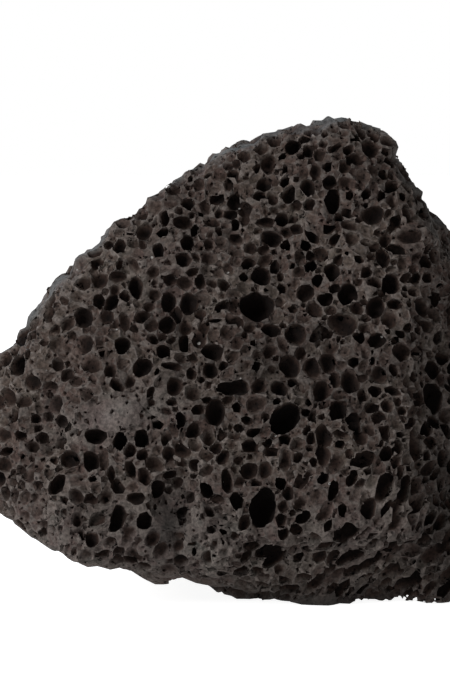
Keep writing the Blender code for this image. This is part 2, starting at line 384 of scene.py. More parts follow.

# %% [markdown]
# ### The large holes of the front
#
# The front face is the stone's best side, and its large holes are what one knows it by: a deep
# pair in the upper middle, a big leaning oval right of the centre, a cluster of squarish holes
# at the left, and drawn-out ones along the flow at the lower right. So these are placed one by one.
# Laying them out on the curved, leaning face itself would be awkward. They are laid out on an
# upright sheet through the middle of the stone instead, and thrown onto the face along lines
# from an eye half a metre in front of it.

# %% Where each large hole is
# Across, up, wide, high (all on the sheet), lean of its upright axis to the right in degrees,
# and depth against its mean radius.
EYE = np.array((-3.6, -498.8, 79.3))
LARGE_HOLES = (
    # crown
    (4.3, 75.4, 3.0, 3.6, 0, 1.0), (15.4, 68.6, 3.6, 5.0, 0, 1.1), (22.7, 66.8, 3.9, 3.6, 0, 1.0),
    (29.5, 66.6, 2.7, 3.4, 0, 0.9), (4.5, 62.0, 3.2, 3.0, 0, 1.6), (-10.5, 61.3, 2.5, 3.2, 0, 1.0),
    # upper middle
    (2.0, 49.8, 6.2, 5.2, 0, 1.5), (2.9, 55.4, 3.4, 3.6, 0, 1.5), (15.4, 56.1, 3.4, 3.6, 0, 1.1),
    (18.2, 52.1, 3.4, 3.9, 0, 1.4), (23.2, 49.8, 3.4, 3.8, 0, 1.1), (26.6, 54.1, 3.8, 4.1, 0, 1.5),
    (24.6, 59.1, 2.5, 3.9, 0, 1.0), (31.8, 49.8, 3.2, 3.4, 0, 1.0), (17.5, 46.8, 5.4, 4.2, 20, 0.8),
    (9.3, 45.2, 3.8, 3.8, 0, 1.1), (4.8, 45.7, 3.8, 2.7, 0, 1.2), (23.8, 43.4, 3.2, 2.9, 0, 1.2),
    # left shoulder
    (-10.2, 50.4, 2.9, 3.6, 0, 1.0), (-13.8, 50.7, 2.7, 3.6, 0, 1.1), (-21.5, 47.2, 2.3, 3.6, 0, 1.0),
    (-28.4, 43.0, 3.2, 3.2, 0, 0.9), (-21.8, 42.8, 3.4, 3.0, 0, 1.1), (-14.1, 41.8, 2.7, 3.2, 0, 1.1),
    (-5.7, 41.9, 3.9, 2.9, 0, 1.1), (-40.9, 39.6, 3.9, 3.6, 0, 1.6),
    # middle
    (-2.3, 35.4, 5.9, 3.0, 0, 0.9), (-5.5, 30.7, 3.6, 5.0, 0, 1.1), (7.0, 29.8, 5.0, 6.4, 35, 1.4),
    (8.0, 39.3, 3.8, 4.1, 0, 1.1), (15.0, 40.0, 3.6, 3.6, 0, 1.1), (18.9, 36.6, 3.4, 4.6, 0, 1.1),
    (16.8, 31.1, 3.0, 4.4, 0, 1.1), (24.1, 37.5, 2.7, 3.0, 0, 1.0), (33.6, 33.6, 4.5, 5.9, 0, 1.0),
    (30.5, 25.4, 3.0, 5.7, 0, 0.6),
    # lower left
    (-26.6, 26.6, 4.0, 2.7, 0, 1.1), (-22.3, 25.7, 2.5, 3.8, 0, 1.2), (-18.6, 26.3, 3.0, 3.4, 0, 1.1),
    (-27.8, 22.0, 3.0, 3.7, 0, 1.1), (-31.8, 22.3, 3.2, 3.0, 0, 1.0), (-18.0, 19.1, 2.7, 3.4, 0, 1.0),
    (-19.8, 15.4, 3.2, 2.4, 0, 1.1), (-22.9, 11.7, 2.5, 4.8, 0, 1.1), (-18.4, 11.4, 3.0, 3.4, 0, 1.2),
    (-13.0, 15.0, 6.4, 8.4, 0, 0.35), (-14.8, 5.8, 3.0, 2.8, 0, 1.0), (-33.8, 17.9, 2.7, 4.0, 30, 1.1),
    (-38.9, 19.8, 2.5, 2.7, 0, 0.9),
    # lower right, drawn out along the flow
    (0.9, 24.8, 3.0, 2.8, 0, 1.1), (3.5, 20.6, 3.0, 3.2, 0, 1.1), (-2.9, 18.8, 2.5, 4.1, 0, 1.1),
    (7.2, 22.4, 2.5, 4.2, 0, 0.7), (3.2, 13.9, 4.8, 6.8, 0, 1.4), (10.6, 19.0, 3.2, 3.2, 0, 0.6),
    (15.9, 17.0, 2.3, 5.2, 25, 0.7), (17.9, 9.3, 3.6, 6.2, 38, 1.1), (4.6, 5.8, 3.4, 5.4, 50, 1.0),
    (25.0, 17.5, 2.7, 6.0, 20, 1.0), (29.0, 17.1, 2.5, 5.0, 20, 0.9), (29.8, 5.8, 3.8, 3.8, 0, 0.5),
)
MORE_HOLES = (
    # crown
    (12.7, 73.9, 2.1, 3.0, 0, 1.0), (22.9, 71.6, 1.8, 2.3, 0, 0.9), (26.4, 68.9, 2.0, 2.9, 0, 1.0),
    (18.8, 64.5, 3.2, 2.1, 0, 0.9), (14.5, 64.1, 3.2, 1.8, 0, 1.0), (11.4, 65.5, 2.9, 2.1, 0, 0.8),
    (9.3, 68.2, 2.3, 2.5, 0, 0.7), (8.9, 63.6, 2.3, 2.0, 0, 1.0), (5.5, 67.5, 2.0, 1.6, 0, 1.0),
    (15.9, 62.0, 2.7, 2.3, 0, 1.0), (13.4, 59.8, 3.0, 2.3, 0, 0.9), (29.3, 62.7, 4.8, 3.0, 0, 0.8),
    # upper middle
    (-1.4, 59.8, 2.9, 1.8, 0, 0.8), (-4.6, 55.9, 2.0, 1.8, 0, 1.0), (9.6, 56.3, 2.1, 2.3, 0, 0.9),
    (-4.3, 49.6, 2.7, 2.5, 0, 0.9), (-5.0, 47.1, 3.8, 1.4, 0, 1.0),
    # left shoulder
    (-5.7, 71.1, 2.1, 1.6, 0, 0.8), (-7.0, 68.2, 2.3, 2.9, 0, 0.7), (-20.2, 62.7, 2.5, 2.1, 0, 0.8),
    (-11.1, 64.8, 3.8, 2.3, 0, 0.9), (-15.4, 59.8, 2.3, 2.9, 0, 1.0), (-18.2, 58.4, 2.1, 2.0, 0, 0.9),
    (-10.7, 54.1, 2.7, 2.7, 0, 1.1), (-13.2, 54.5, 2.3, 2.1, 0, 1.0), (-7.7, 51.4, 2.9, 2.9, 0, 0.8),
    (-17.9, 48.2, 3.0, 2.3, 0, 1.0), (-34.5, 51.4, 3.0, 2.9, 0, 0.9), (-38.0, 44.8, 2.3, 2.3, 0, 1.0),
    (-25.5, 41.6, 2.1, 1.8, 0, 0.8), (-10.7, 43.2, 2.3, 3.8, 0, 1.0), (-13.2, 38.9, 3.2, 1.8, 0, 1.0),
    (-16.1, 37.3, 2.0, 2.3, 0, 1.0), (-6.2, 38.4, 2.9, 3.2, 0, 1.1),
    # middle
    (1.6, 39.1, 2.3, 3.0, 0, 1.0), (5.0, 38.4, 2.0, 1.8, 0, 0.9), (21.2, 39.3, 1.8, 2.0, 0, 1.0),
    (5.9, 35.2, 3.0, 2.9, 0, 1.0), (-6.6, 27.1, 2.1, 3.0, 0, 1.0), (19.3, 28.9, 3.4, 3.8, 0, 1.1),
    (14.3, 26.8, 2.9, 4.3, 0, 0.8),
    # lower left
    (-29.5, 27.3, 1.4, 1.8, 0, 0.8), (-25.4, 22.5, 2.3, 4.1, 0, 0.6), (-37.1, 17.9, 2.1, 2.1, 0, 0.9),
    (-40.5, 26.8, 2.3, 2.3, 0, 0.9), (-42.3, 23.8, 3.0, 1.8, 0, 1.0), (-43.0, 16.4, 2.0, 2.7, 0, 1.0),
    (-42.0, 13.0, 2.5, 2.1, 0, 0.9), (-15.9, 21.8, 3.0, 2.9, 40, 1.1), (-26.4, 11.8, 2.7, 2.5, 0, 0.9),
    (-13.2, 15.4, 7.8, 10.0, 0, 0.39), (-11.4, 15.0, 2.3, 2.5, 0, 1.5), (-10.4, 12.1, 1.8, 2.7, 0, 1.2),
    (-5.0, 15.2, 2.7, 2.0, 0, 0.9), (-12.1, 8.6, 2.7, 1.8, 0, 1.0), (-16.8, 8.4, 2.7, 3.0, 0, 1.0),
    (-11.4, 4.1, 2.7, 3.0, 0, 0.9), (-7.0, 4.5, 2.0, 3.0, 0, 0.9),
    # lower right, drawn out along the flow
    (12.3, 22.3, 2.0, 2.1, 0, 1.0), (-1.4, 15.0, 2.9, 3.4, 0, 1.0), (7.9, 16.6, 2.5, 2.9, 0, 0.9),
    (19.3, 19.1, 1.8, 3.4, 20, 1.1), (17.5, 13.0, 2.0, 2.7, 20, 1.2), (29.5, 20.7, 1.8, 2.0, 0, 1.0),
    (14.8, 10.9, 1.8, 2.7, 20, 1.1), (9.6, 9.6, 3.0, 2.3, 40, 0.9), (5.4, 4.5, 3.6, 5.4, 55, 1.1),
    (13.6, 4.8, 2.3, 3.0, 40, 0.9), (18.9, 4.5, 2.5, 5.9, 62, 1.0), (0.2, 4.8, 1.8, 2.7, 55, 1.0),
)
FRONT_HOLES = np.array(LARGE_HOLES + MORE_HOLES)
print(len(LARGE_HOLES), "holes that the solids have too, and", len(MORE_HOLES), "more")


# %% Throw them onto the face and carve them
HOLE_SINK = 0.30  # how far a hole's middle lies below the skin, against its depth
HOLE_WIDEN = 1.02  # a sunk egg is narrower where it meets the skin
HOLLOW_BELOW = 0.4  # a hole this shallow is a hollow, with foam inside it
LEFT_NOTCH = ((-44.1, 0.0, 47.3), (4.8, 60.0, 4.8))  # middle and radii of a nick right through
LOOKED_UP = np.linspace(-48.0, 24.0, 289)[:, None]  # the y of the points on each line


def thrown_onto_front(across, up):
    """Where lines from the eye through the sheet first meet the stone: the form is looked up at
    many depths on each line, and the first one inside is taken."""
    sheet = np.stack([across, np.zeros_like(across), up], -1)
    lines = unit(sheet - EYE)
    starts = EYE - lines * (EYE[1] / lines[:, 1:2])
    points = starts[:, None] + lines[:, None] * (LOOKED_UP / lines[:, None, 1:2])
    first = np.argmax(stone(points) < 0, axis=1)
    return points[np.arange(len(points)), first]


front_places = thrown_onto_front(FRONT_HOLES[:, 0], FRONT_HOLES[:, 1])
for place, normal, row in zip(front_places, outward(front_places), FRONT_HOLES):
    wide, high, lean, depth = row[2:]
    deep = depth * (wide + high) / 4
    middle = place - normal * HOLE_SINK * deep
    radii = (HOLE_WIDEN * wide / 2, HOLE_WIDEN * high / 2, deep)
    cut = hollow if depth < HOLLOW_BELOW else carve
    cut(middle, skin_frame(normal, lean), radii)
hollow(np.array(LEFT_NOTCH[0]), np.eye(3), LEFT_NOTCH[1])
lap("front holes carved")

# %% [markdown]
# ### Large holes on the other sides
#
# The other sides have large holes too, and the solids already hold them. The same seeded
# scatter is run again here, so each one lands in the place of its solid twin.

# %% The same scatter as in the solids
SCATTER_SEED = 23
SCATTER_TRIES = 1500
SCATTER_PITS = 110
SCATTER_RADII = (3.5, 1.35)  # first and last
SCATTER_OVAL = 0.30  # how far a pit's sides differ
PIT_GAP = 0.7  # the least stone left between two pits
FRONT_LIMIT = -0.45  # a skin that looks this far towards -Y belongs to the front
FOOT_CENTRE = (19.0, 1.0)  # the middle of the underside stays whole, to rest on
FOOT_RADIUS = 13.0
FOOT_MARGIN = 1.0
SKIN_ROUNDS = 8  # times the reach is worked out again where it has got to


def on_skin(directions):
    """Where rays from the heart leave the stone: the reach is worked out again, with the lumps
    of where it has got to, a few times."""
    reach = MEAN_REACH / block(directions * MEAN_REACH)
    for _ in range(SKIN_ROUNDS):
        points = HEART + directions * reach[:, None]
        reach = (1 + lumps(points) / MEAN_REACH) / block(directions)
    return HEART + directions * reach[:, None]


def scattered_pits(taken, taken_radii):
    """Seeded pits on every side but the front: places and radii, none nearer than PIT_GAP."""
    random = np.random.default_rng(SCATTER_SEED)
    places = on_skin(unit(random.normal(size=(SCATTER_TRIES, 3))))
    sides = outward(places)
    foot_offset = np.hypot(places[:, 0] - FOOT_CENTRE[0], places[:, 1] - FOOT_CENTRE[1])
    near_foot = (places[:, 2] < FOOT_MARGIN) & (foot_offset < FOOT_RADIUS)
    places[:, 2] = np.maximum(places[:, 2], 0)
    free = (sides[:, 1] > FRONT_LIMIT) & ~near_foot
    radii = np.geomspace(*SCATTER_RADII, SCATTER_PITS)
    front = len(LARGE_HOLES)
    for place in places[free]:
        if len(taken_radii) == front + SCATTER_PITS:
            break
        radius = radii[len(taken_radii) - front]
        gaps = np.linalg.norm(np.array(taken) - place, axis=1) - taken_radii - radius
        if gaps.min() > PIT_GAP:
            taken.append(place)
            taken_radii.append(radius)
    return np.array(taken[front:]), np.array(taken_radii[front:])


solid_rows = np.array(LARGE_HOLES)
side_places, side_radii = scattered_pits(
    list(front_places[: len(solid_rows)]), list(solid_rows[:, 2:4].max(1) / 2)
)
random = np.random.default_rng(SCATTER_SEED + 1)
for place, normal, radius in zip(side_places, outward(side_places), side_radii):
    oval = random.uniform(1 - SCATTER_OVAL, 1)
    lean = random.uniform(0, 180)
    if place[2] == 0:
        normal = np.array((0.0, 0.0, -1.0))
    middle = place - normal * HOLE_SINK * radius
    carve(middle, skin_frame(normal, lean), (radius, radius * oval, radius))
lap(f"{len(side_places)} holes on the other sides")

# %% [markdown]
# ### The foam between
#
# Real foam packs: every bubble grew until it met its neighbours. Scattering bubbles blindly
# leaves bald patches and blurs, so they are packed instead, from the largest to the smallest. A
# new one may only start where the nearest bubble is nearly its own radius away. Then the small
# ones fill what the large ones left. Only one layer just under the skin is needed, because
# nothing deeper is ever seen, apart from a few bubbles in the walls of the large holes.

# %% Where the foam is finer, thinner or drawn out
# Patches on the upright sheet: across, up, half length, half width, slope in degrees, then how
# plain the patch is and how much pale dust, partly painted bounce light, lies on it.
SMOOTH_PATCHES = (
    (-22.3, 32.8, 10.0, 3.8, 18, 0.85, 0.95),
    (-31.0, 14.0, 4.0, 8.0, 0, 0.60, 0.55),
    (-33.0, 31.0, 4.0, 4.0, 0, 0.45, 0.15),
    (-6.0, 9.0, 5.5, 6.0, 0, 0.45, 0.50),
    (12.5, 0.6, 7.0, 2.6, 0, 0.90, 0.00),
    (-8.0, 16.0, 1.6, 5.5, 0, 0.75, 0.70),
    (-2.5, 12.5, 3.0, 6.0, 0, 0.35, 0.60),
    (-13.6, 15.5, 3.2, 4.4, 0, 0.90, 0.00),
    (19.0, 13.0, 10.0, 7.0, 0, 0.00, 0.62),
    (-14.0, 12.0, 26.0, 9.0, 0, 0.00, 0.60),
    (-12.0, 59.0, 8.0, 10.0, 0, 0.00, 0.24),
)
# Patches of painted shade on the same sheet, at the foot, the right flank, the middle and a shallow
# hollow: across, up, half length, half width, slope, strength.
PAINTED_SHADE_PATCHES = (
    (-13.4, 14.8, 5.2, 3.0, 80, 0.85),
    (14.0, -1.0, 26.0, 4.8, 0, 0.95),
    (35.0, 14.0, 7.0, 26.0, 0, 0.62),
    (10.0, 41.0, 22.0, 8.0, 0, 0.30),
)
FLOW_RIGHT = (3.0, 15.0)  # x from which the cells are drawn out, and where they are fully so
FLOW_DOWN = (34.0, 20.0)  # and the same for z
FLOW_BACK = 5.0  # the y beyond which they aren't
PLAIN, DUST_AND_BOUNCE, STRENGTH = 5, 6, 5  # where these stand in a row


def in_patches(points, column, patches=SMOOTH_PATCHES):
    """The highest patch value at each point. A patch is 1 in its middle and falls to 0 outside:
    e to the minus the squared distance from the middle, counted in half lengths and widths."""
    most = np.zeros(len(points))
    for row in patches:
        turn = math.radians(row[4])
        x, z = points[:, 0] - row[0], points[:, 2] - row[1]
        along = (x * math.cos(turn) + z * math.sin(turn)) / row[2]
        across = (z * math.cos(turn) - x * math.sin(turn)) / row[3]
        most = np.maximum(most, row[column] * np.exp(-(along**2) - across**2))
    return most * (points[:, 1] < 0)


def eased(low, high, values):
    """0 below low, 1 above high, and 3t² - 2t³ of the share t of the way between."""
    t = np.clip((values - low) / (high - low), 0, 1)
    return t * t * (3 - 2 * t)


def drawn_out(points):
    """1 at the lower right of the front, where the cells were drawn out along the flow."""
    x, y, z = points.T
    return eased(*FLOW_RIGHT, x) * eased(*FLOW_DOWN, z) * (y < FLOW_BACK)


print(len(SMOOTH_PATCHES), "plain or dusty patches,", len(PAINTED_SHADE_PATCHES), "patches of painted shade")

# %% Sizes and depths of the foam's bubbles
FLOW = unit((0.62, -0.10, 0.78))  # the way the cells are drawn out
DRAWN_LONGER, DRAWN_THINNER = 0.85, 0.12  # what the flow adds to a bubble and takes from it
# Radius, share of the skin that its openings take at the front, share elsewhere, and how much
# room it asks for: the least distance from its middle to the nearest bubble, against its radius.
FOAM = (
    (2.60, 0.000, 0.070, 0.72),
    (2.10, 0.000, 0.140, 0.72),
    (1.70, 0.050, 0.220, 0.72),
    (1.35, 0.200, 0.220, 0.72),
    (1.10, 0.340, 0.100, 0.70),
    (0.90, 0.280, 0.050, 0.66),
    (0.74, 0.200, 0.020, 0.62),
    (0.60, 0.140, 0.000, 0.60),
)
# Bubbles' middles lie between these heights above the skin, against their radius: at the left of
# the front, and at its right and elsewhere. A height below 0 lies in the stone.
DEEPEST = (-0.40, -0.85)
HIGHEST = (0.84, 0.70)
WORN_DEEPEST = 0.44  # where the stone is worn
LEFT_TO_RIGHT = (-34.0, 6.0)  # x between which the one changes to the other
MOST_PLAIN = 0.30  # no bubble of radius 1 starts where the skin is plainer than about this
PLAIN_SPREAD = (0.6, 1.4)  # each bubble's own share of that
STRETCH_SPREAD = 0.16  # of the logarithm of a bubble's three radii
print(len(FOAM), "sizes of bubble")


# %% Carve bubbles of one size where there is room
def random_axes(random, count):
    """Seeded right-angled axes for each bubble: random directions made square to one another."""
    first = unit(random.normal(size=(count, 3)))
    second_axis = random.normal(size=(count, 3))
    second_axis = unit(second_axis - (second_axis * first).sum(1, keepdims=True) * first)
    return np.stack([first, second_axis, np.cross(first, second_axis)], 1)


def carve_where_free(random, chosen, radius, wanted, room):
    """Carves bubbles of one size at the chosen samples, leaving out those with no room."""
    cells = np.stack(np.unravel_index(chosen, body.shape), -1)
    places = GRID_LOW + CELL * (cells + random.uniform(-0.5, 0.5, cells.shape))
    likely = nearest.ravel()[chosen] > room * radius
    most_plain = MOST_PLAIN / radius * random.uniform(*PLAIN_SPREAD, len(chosen))
    likely &= in_patches(places, PLAIN) < most_plain
    cells, places = cells[likely], places[likely]
    axes = random_axes(random, len(places))
    stretch = np.exp(random.normal(0, STRETCH_SPREAD, (len(places), 3)))
    drawn = drawn_out(places)
    axes[drawn > 0.5, 0] = FLOW
    side = axes[:, 1] - (axes[:, 1] * axes[:, 0]).sum(1, keepdims=True) * axes[:, 0]
    axes[:, 1] = unit(side)
    axes[:, 2] = np.cross(axes[:, 0], axes[:, 1])
    stretch[:, 0] *= 1 + DRAWN_LONGER * drawn
    stretch[:, 1:] *= 1 - DRAWN_THINNER * drawn[:, None]
    placed = 0
    for (i, j, k), place, turned, pulled in zip(cells, places, axes, stretch):
        if placed == wanted:
            break
        if nearest[i, j, k] > room * radius:
            carve(place, turned, radius * pulled)
            placed += 1
    return placed


print("bubbles can be carved")

# %% Pack the foam, largest bubbles first
PACK_SEED = 8
TRIES_FOR_ONE = 30
MOST_TRIES = 160000
MOUTH = 0.8  # the usual radius of an opening against its bubble's
FRONT_FACING = 0.05  # the front is the skin that looks towards it more than this


def allowed(is_front):
    """The least and the greatest height above the skin for a bubble's middle, against its
    radius, at every sample: they change from the left of the front to its right."""
    x = fine_axes[0].astype(np.float32)
    right = eased(*LEFT_TO_RIGHT, x)[:, None, None] if is_front else np.float32(1)
    lowest = DEEPEST[0] + (DEEPEST[1] - DEEPEST[0]) * right
    highest = HIGHEST[0] + (HIGHEST[1] - HIGHEST[0]) * right
    return lowest + (WORN_DEEPEST - lowest) * worn, highest


def pack(random, radius, is_front, share, room):
    """Fills one part of the skin with bubbles of one size, until their openings take their
    share of it or no place is left. The skin's area is counted in the samples that lie within
    half a step of it."""
    where = front if is_front else ~front
    area = CELL**2 * np.count_nonzero((np.abs(body) < CELL / 2) & where)
    wanted = int(share * area / (math.pi * (MOUTH * radius) ** 2))
    if not wanted:
        return "none"
    lowest, highest = allowed(is_front)
    band = (body > lowest * radius) & (body < highest * radius) & where
    tries = min(wanted * TRIES_FOR_ONE, MOST_TRIES)
    chosen = random.choice(np.flatnonzero(band), tries)
    placed = carve_where_free(random, chosen, radius, wanted, room)
    return f"{placed} of {wanted} on {area:.0f} mm²"


front = to_front > FRONT_FACING
random = np.random.default_rng(PACK_SEED)
for radius, front_share, other_share, room in FOAM:
    told = pack(random, radius, True, front_share, room)
    told += "; elsewhere " + pack(random, radius, False, other_share, room)
    lap(f"radius {radius:.2f}: {told}")

# %% Small bubbles in the walls of the large front holes
INNER_BUBBLES = ((0.95, 40), (0.75, 80), (0.60, 80))  # radius and number
INNER_DEPTHS = (-4.0, -0.8)  # their middles lie between these distances from the skin
INNER_ROOM = (0.72, 1.15)  # and between these from the nearest bubble, against their radius
INNER_TRIES = 8
for radius, wanted in INNER_BUBBLES:
    near_hole = (nearest > INNER_ROOM[0] * radius) & (nearest < INNER_ROOM[1] * radius) & front
    near_hole &= (body > INNER_DEPTHS[0]) & (body < INNER_DEPTHS[1])
    chosen = random.choice(np.flatnonzero(near_hole), INNER_TRIES * wanted)
    placed = carve_where_free(random, chosen, radius, wanted, INNER_ROOM[0])
    print(f"radius {radius:.2f}: {placed} inside holes")
del front, near_hole

# %% [markdown]
# ### Walls and windows
#
# Where two bubbles press on one another, a wall is left midway between them. In a real foam the
# wall is thinnest in the middle of the contact, and there it tore and left a window into the
# next cell. So the wall's thickness falls the deeper a point lies inside both bubbles. Noise
# makes some walls stout and some ragged. Last, air and stone are joined with a softened
# maximum, which rubs the rims round. Along the worn outline the field is blurred as well, so
# that no thin fin sticks out there.

# %% Air, stone and the rubbed rims
WALL = 0.30  # thickness in mm
WALL_NOISE = 0.16
WALL_PATCH, WALL_SEED = 8, 41  # the noise: size of a patch in samples, seed
WINDOW = 0.5  # how fast a wall thins towards the middle of a contact
RIM_ROUNDING = 0.26
WORN_BLUR = 3  # in samples

wall = np.maximum(WALL + WALL_NOISE * soft_noise(WALL_PATCH, WALL_SEED), 0)
gap = (wall + WINDOW * np.minimum(nearest, 0) - (second - nearest)) / 2
air = np.maximum(nearest, gap)
del wall, gap, second
solid = np.maximum(body, -air)
closeness = np.maximum(RIM_ROUNDING - np.abs(body + air), 0) / RIM_ROUNDING
solid += closeness**2 * RIM_ROUNDING / 4
del closeness, air


def blurred(field, reach):
    """Each value becomes the mean of those up to reach samples away, along each axis in turn."""
    for axis in range(3):
        field = np.moveaxis(field, axis, 0)
        padded = np.concatenate([
            np.repeat(field[:1], reach + 1, 0), field, np.repeat(field[-1:], reach, 0)
        ])
        total = np.cumsum(padded, 0, dtype=np.float32)
        field = (total[2 * reach + 1 :] - total[: -2 * reach - 1]) / (2 * reach + 1)
        field = np.moveaxis(field, 0, axis)
    return field


near_skin = np.clip(solid, -1, 1)
solid += (blurred(near_skin, WORN_BLUR) - near_skin) * worn
del near_skin
lap("walls and rims")

# %% [markdown]
# ## From the field to a mesh
#
# The mesh is stretched over the places where the field is zero. Each box of eight samples that
# the surface passes through gets one vertex, in the middle of the points where the surface
# crosses the box's edges. Each pair of neighbouring samples that lie on different sides gets
# one four-sided face, between the four boxes around that pair.

# %% Boxes that the surface passes through, and a vertex in each
CORNERS = [(a, b, c) for a in (0, 1) for b in (0, 1) for c in (0, 1)]


def crossed_boxes(inside):
    """The first sample of every box whose eight corners are neither all inside nor all outside."""
    count = np.zeros([n - 1 for n in inside.shape], np.uint8)
    for corner in CORNERS:
        count += inside[tuple(slice(c, c + n) for c, n in zip(corner, count.shape))]
    return np.stack(np.nonzero((count > 0) & (count < 8)), -1)


def box_vertices(field, boxes):
    """One vertex in each box: the mean of the crossings on its twelve edges. A crossing lies a
    share a / (a - b) of the way along an edge whose ends hold a and b."""
    values = [field[tuple((boxes + corner).T)] for corner in CORNERS]
    total = np.zeros((len(boxes), 3), np.float32)
    crossings = np.zeros(len(boxes), np.float32)
    for u, start in enumerate(CORNERS):
        for axis in range(3):
            if start[axis]:
                continue
            end = CORNERS.index(tuple(c + (i == axis) for i, c in enumerate(start)))
            a, b = values[u], values[end]
            crossed = (a < 0) != (b < 0)
            share = np.where(crossed, a / np.where(crossed, a - b, 1), 0)
            for i in range(3):
                along = share if i == axis else start[i]
                total[:, i] += np.where(crossed, along, 0)
            crossings += crossed
    return boxes + total / crossings[:, None]


inside = solid < 0
boxes = crossed_boxes(inside)
vertices = box_vertices(solid, boxes)
print(len(vertices), "boxes, with a vertex in each")


# %% Stretch faces between the boxes
def faces_between(inside, index):
    """Four-sided faces, turned outwards: for every pair of neighbouring samples on different
    sides, the vertices of the four boxes that share that pair."""
    faces = []
    for axis in range(3):
        others = [i for i in range(3) if i != axis]
        low = [slice(1, -1)] * 3
        high = [slice(1, -1)] * 3
        low[axis], high[axis] = slice(0, -1), slice(1, None)
        a, b = inside[tuple(low)], inside[tuple(high)]
        for leaving in (True, False):
            pairs = np.stack(np.nonzero(a & ~b if leaving else ~a & b), -1)
            ring = []
            for step in ((0, 0), (1, 0), (1, 1), (0, 1)):
                box = pairs.copy()
                box[:, others] += step
                ring.append(index[tuple(box.T)])
            face = np.stack(ring, -1)
            faces.append(face if leaving ^ (axis == 1) else face[:, ::-1])
    return np.concatenate(faces)


index = np.full([n - 1 for n in solid.shape], -1, np.int32)
index[tuple(boxes.T)] = np.arange(len(boxes))
faces = faces_between(inside, index)
del index, inside
lap(f"{len(faces)} faces")

# %% [markdown]
# ### Throw away the crumbs
#
# Where a thin wall broke up, crumbs are left in the air, and a real stone has lost them. To
# find them, each vertex starts with its own number and again and again takes the lowest number
# among its neighbours. In the end all vertices of one piece share a number, and the piece with
# the most of them is the stone.

# %% Keep the largest piece
def piece_numbers(count, faces):
    """A number for each vertex that is the same all over a connected piece."""
    ends = np.concatenate([faces[:, [0, 1]], faces[:, [1, 2]], faces[:, [2, 3]]])
    number = np.arange(count)
    while True:
        least = np.minimum(number[ends[:, 0]], number[ends[:, 1]])
        new = number.copy()
        np.minimum.at(new, ends[:, 0], least)
        np.minimum.at(new, ends[:, 1], least)
        new = new[new]
        new = new[new]
        if (new == number).all():
            return number
        number = new


number = piece_numbers(len(vertices), faces)
largest = np.bincount(number).argmax()
pieces = len(np.unique(number))
faces = faces[number[faces[:, 0]] == largest]
used = np.unique(faces)
renumbered = np.full(len(vertices), -1)
renumbered[used] = np.arange(len(used))
vertices, faces = vertices[used], renumbered[faces]
lap(f"{pieces - 1} crumbs thrown away, {len(faces)} faces left")

# %% [markdown]
# ### Thinning
#
# The net has far more faces than a game, a viewer or a simulator wants. Decimate melts the
# edges whose loss changes the shape least. The front and the outline are looked at most, so they
# are given two thirds of the faces, though they are under half of the stone, and the dark
# insides of holes get few. So the stone is thinned one region at a time, each in a vertex group,
# because Decimate melts only what its group holds, and at the end once all over. It is run in
# millimetres, because it compares squared distances, and in metres those are too small to tell
# apart.

# %% Read a field anywhere, and put the net into a mesh
def read_between(field, places, factor=1):
    """The field at places counted in samples, blended from the eight values around each."""
    places = np.clip(places / factor, 0, np.array(field.shape) - 1.001)
    cell = places.astype(int)
    share = places - cell
    value = np.zeros(len(places), np.float32)
    for corner in CORNERS:
        weight = np.prod(np.where(corner, share, 1 - share), axis=1)
        value += weight * field[tuple((cell + corner).T)]
    return value


def new_mesh(name, points, corners):
    """A mesh of faces that all have the same number of corners."""
    mesh = bpy.data.meshes.new(name)
    mesh.vertices.add(len(points))
    mesh.vertices.foreach_set("co", np.ascontiguousarray(points, np.float32).ravel())
    mesh.loops.add(corners.size)
    mesh.loops.foreach_set("vertex_index", corners.astype(np.int32).ravel())
    mesh.polygons.add(len(corners))
    starts = np.arange(0, corners.size, corners.shape[1], dtype=np.int32)
    mesh.polygons.foreach_set("loop_start", starts)
    mesh.update(calc_edges=True)
    return mesh


def read_mesh(mesh):
    """The points and triangles of a mesh of triangles."""
    points = np.empty(3 * len(mesh.vertices), np.float32)
    mesh.vertices.foreach_get("co", points)
    triangles = np.empty(3 * len(mesh.polygons), np.int32)
    mesh.polygons.foreach_get("vertices", triangles)
    return points.reshape(-1, 3), triangles.reshape(-1, 3).astype(np.int64)


print("meshes can be written and read")

# %% Thin one region after another
KEPT_TRIANGLES = {"insides of holes": 16000, "other sides": 43000, "front": 112000}
ALL_TRIANGLES = 177000
HIDDEN_DEPTH = 1.5  # where the insides of holes begin
OUTLINE_FACING = -0.22  # the outline counts with the front, to a little way behind it


def thinned(points, faces, melts, kept):
    """The mesh with only the vertices that melt thinned, to about so many kept triangles among
    them. Returns how many there were, the points and the triangles."""
    total = len(faces) * (faces.shape[1] - 2)
    melting = int(melts[faces[:, 0]].sum()) * (faces.shape[1] - 2)
    holder = new_object("net", new_mesh("net", points, faces))
    group = holder.vertex_groups.new(name="melts")
    group.add(np.flatnonzero(melts).tolist(), 1.0, "REPLACE")
    thinning = holder.modifiers.new("thinning", "DECIMATE")
    thinning.ratio = (total - melting + kept) / total
    thinning.vertex_group = group.name
    thinning.vertex_group_factor = 1.0
    thinning.use_collapse_triangulate = True
    graph = bpy.context.evaluated_depsgraph_get()
    result = bpy.data.meshes.new_from_object(holder.evaluated_get(graph))
    made = read_mesh(result)
    bpy.data.meshes.remove(result)
    bpy.data.meshes.remove(holder.data)
    return melting, *made


def region(points):
    """The number of each point's region, in the order of the dictionary above."""
    samples = (points - GRID_LOW) / CELL
    facing = read_between(to_front, samples) > OUTLINE_FACING
    hidden = read_between(body, samples) < -HIDDEN_DEPTH
    return np.where(hidden, 0, np.where(facing, 2, 1))


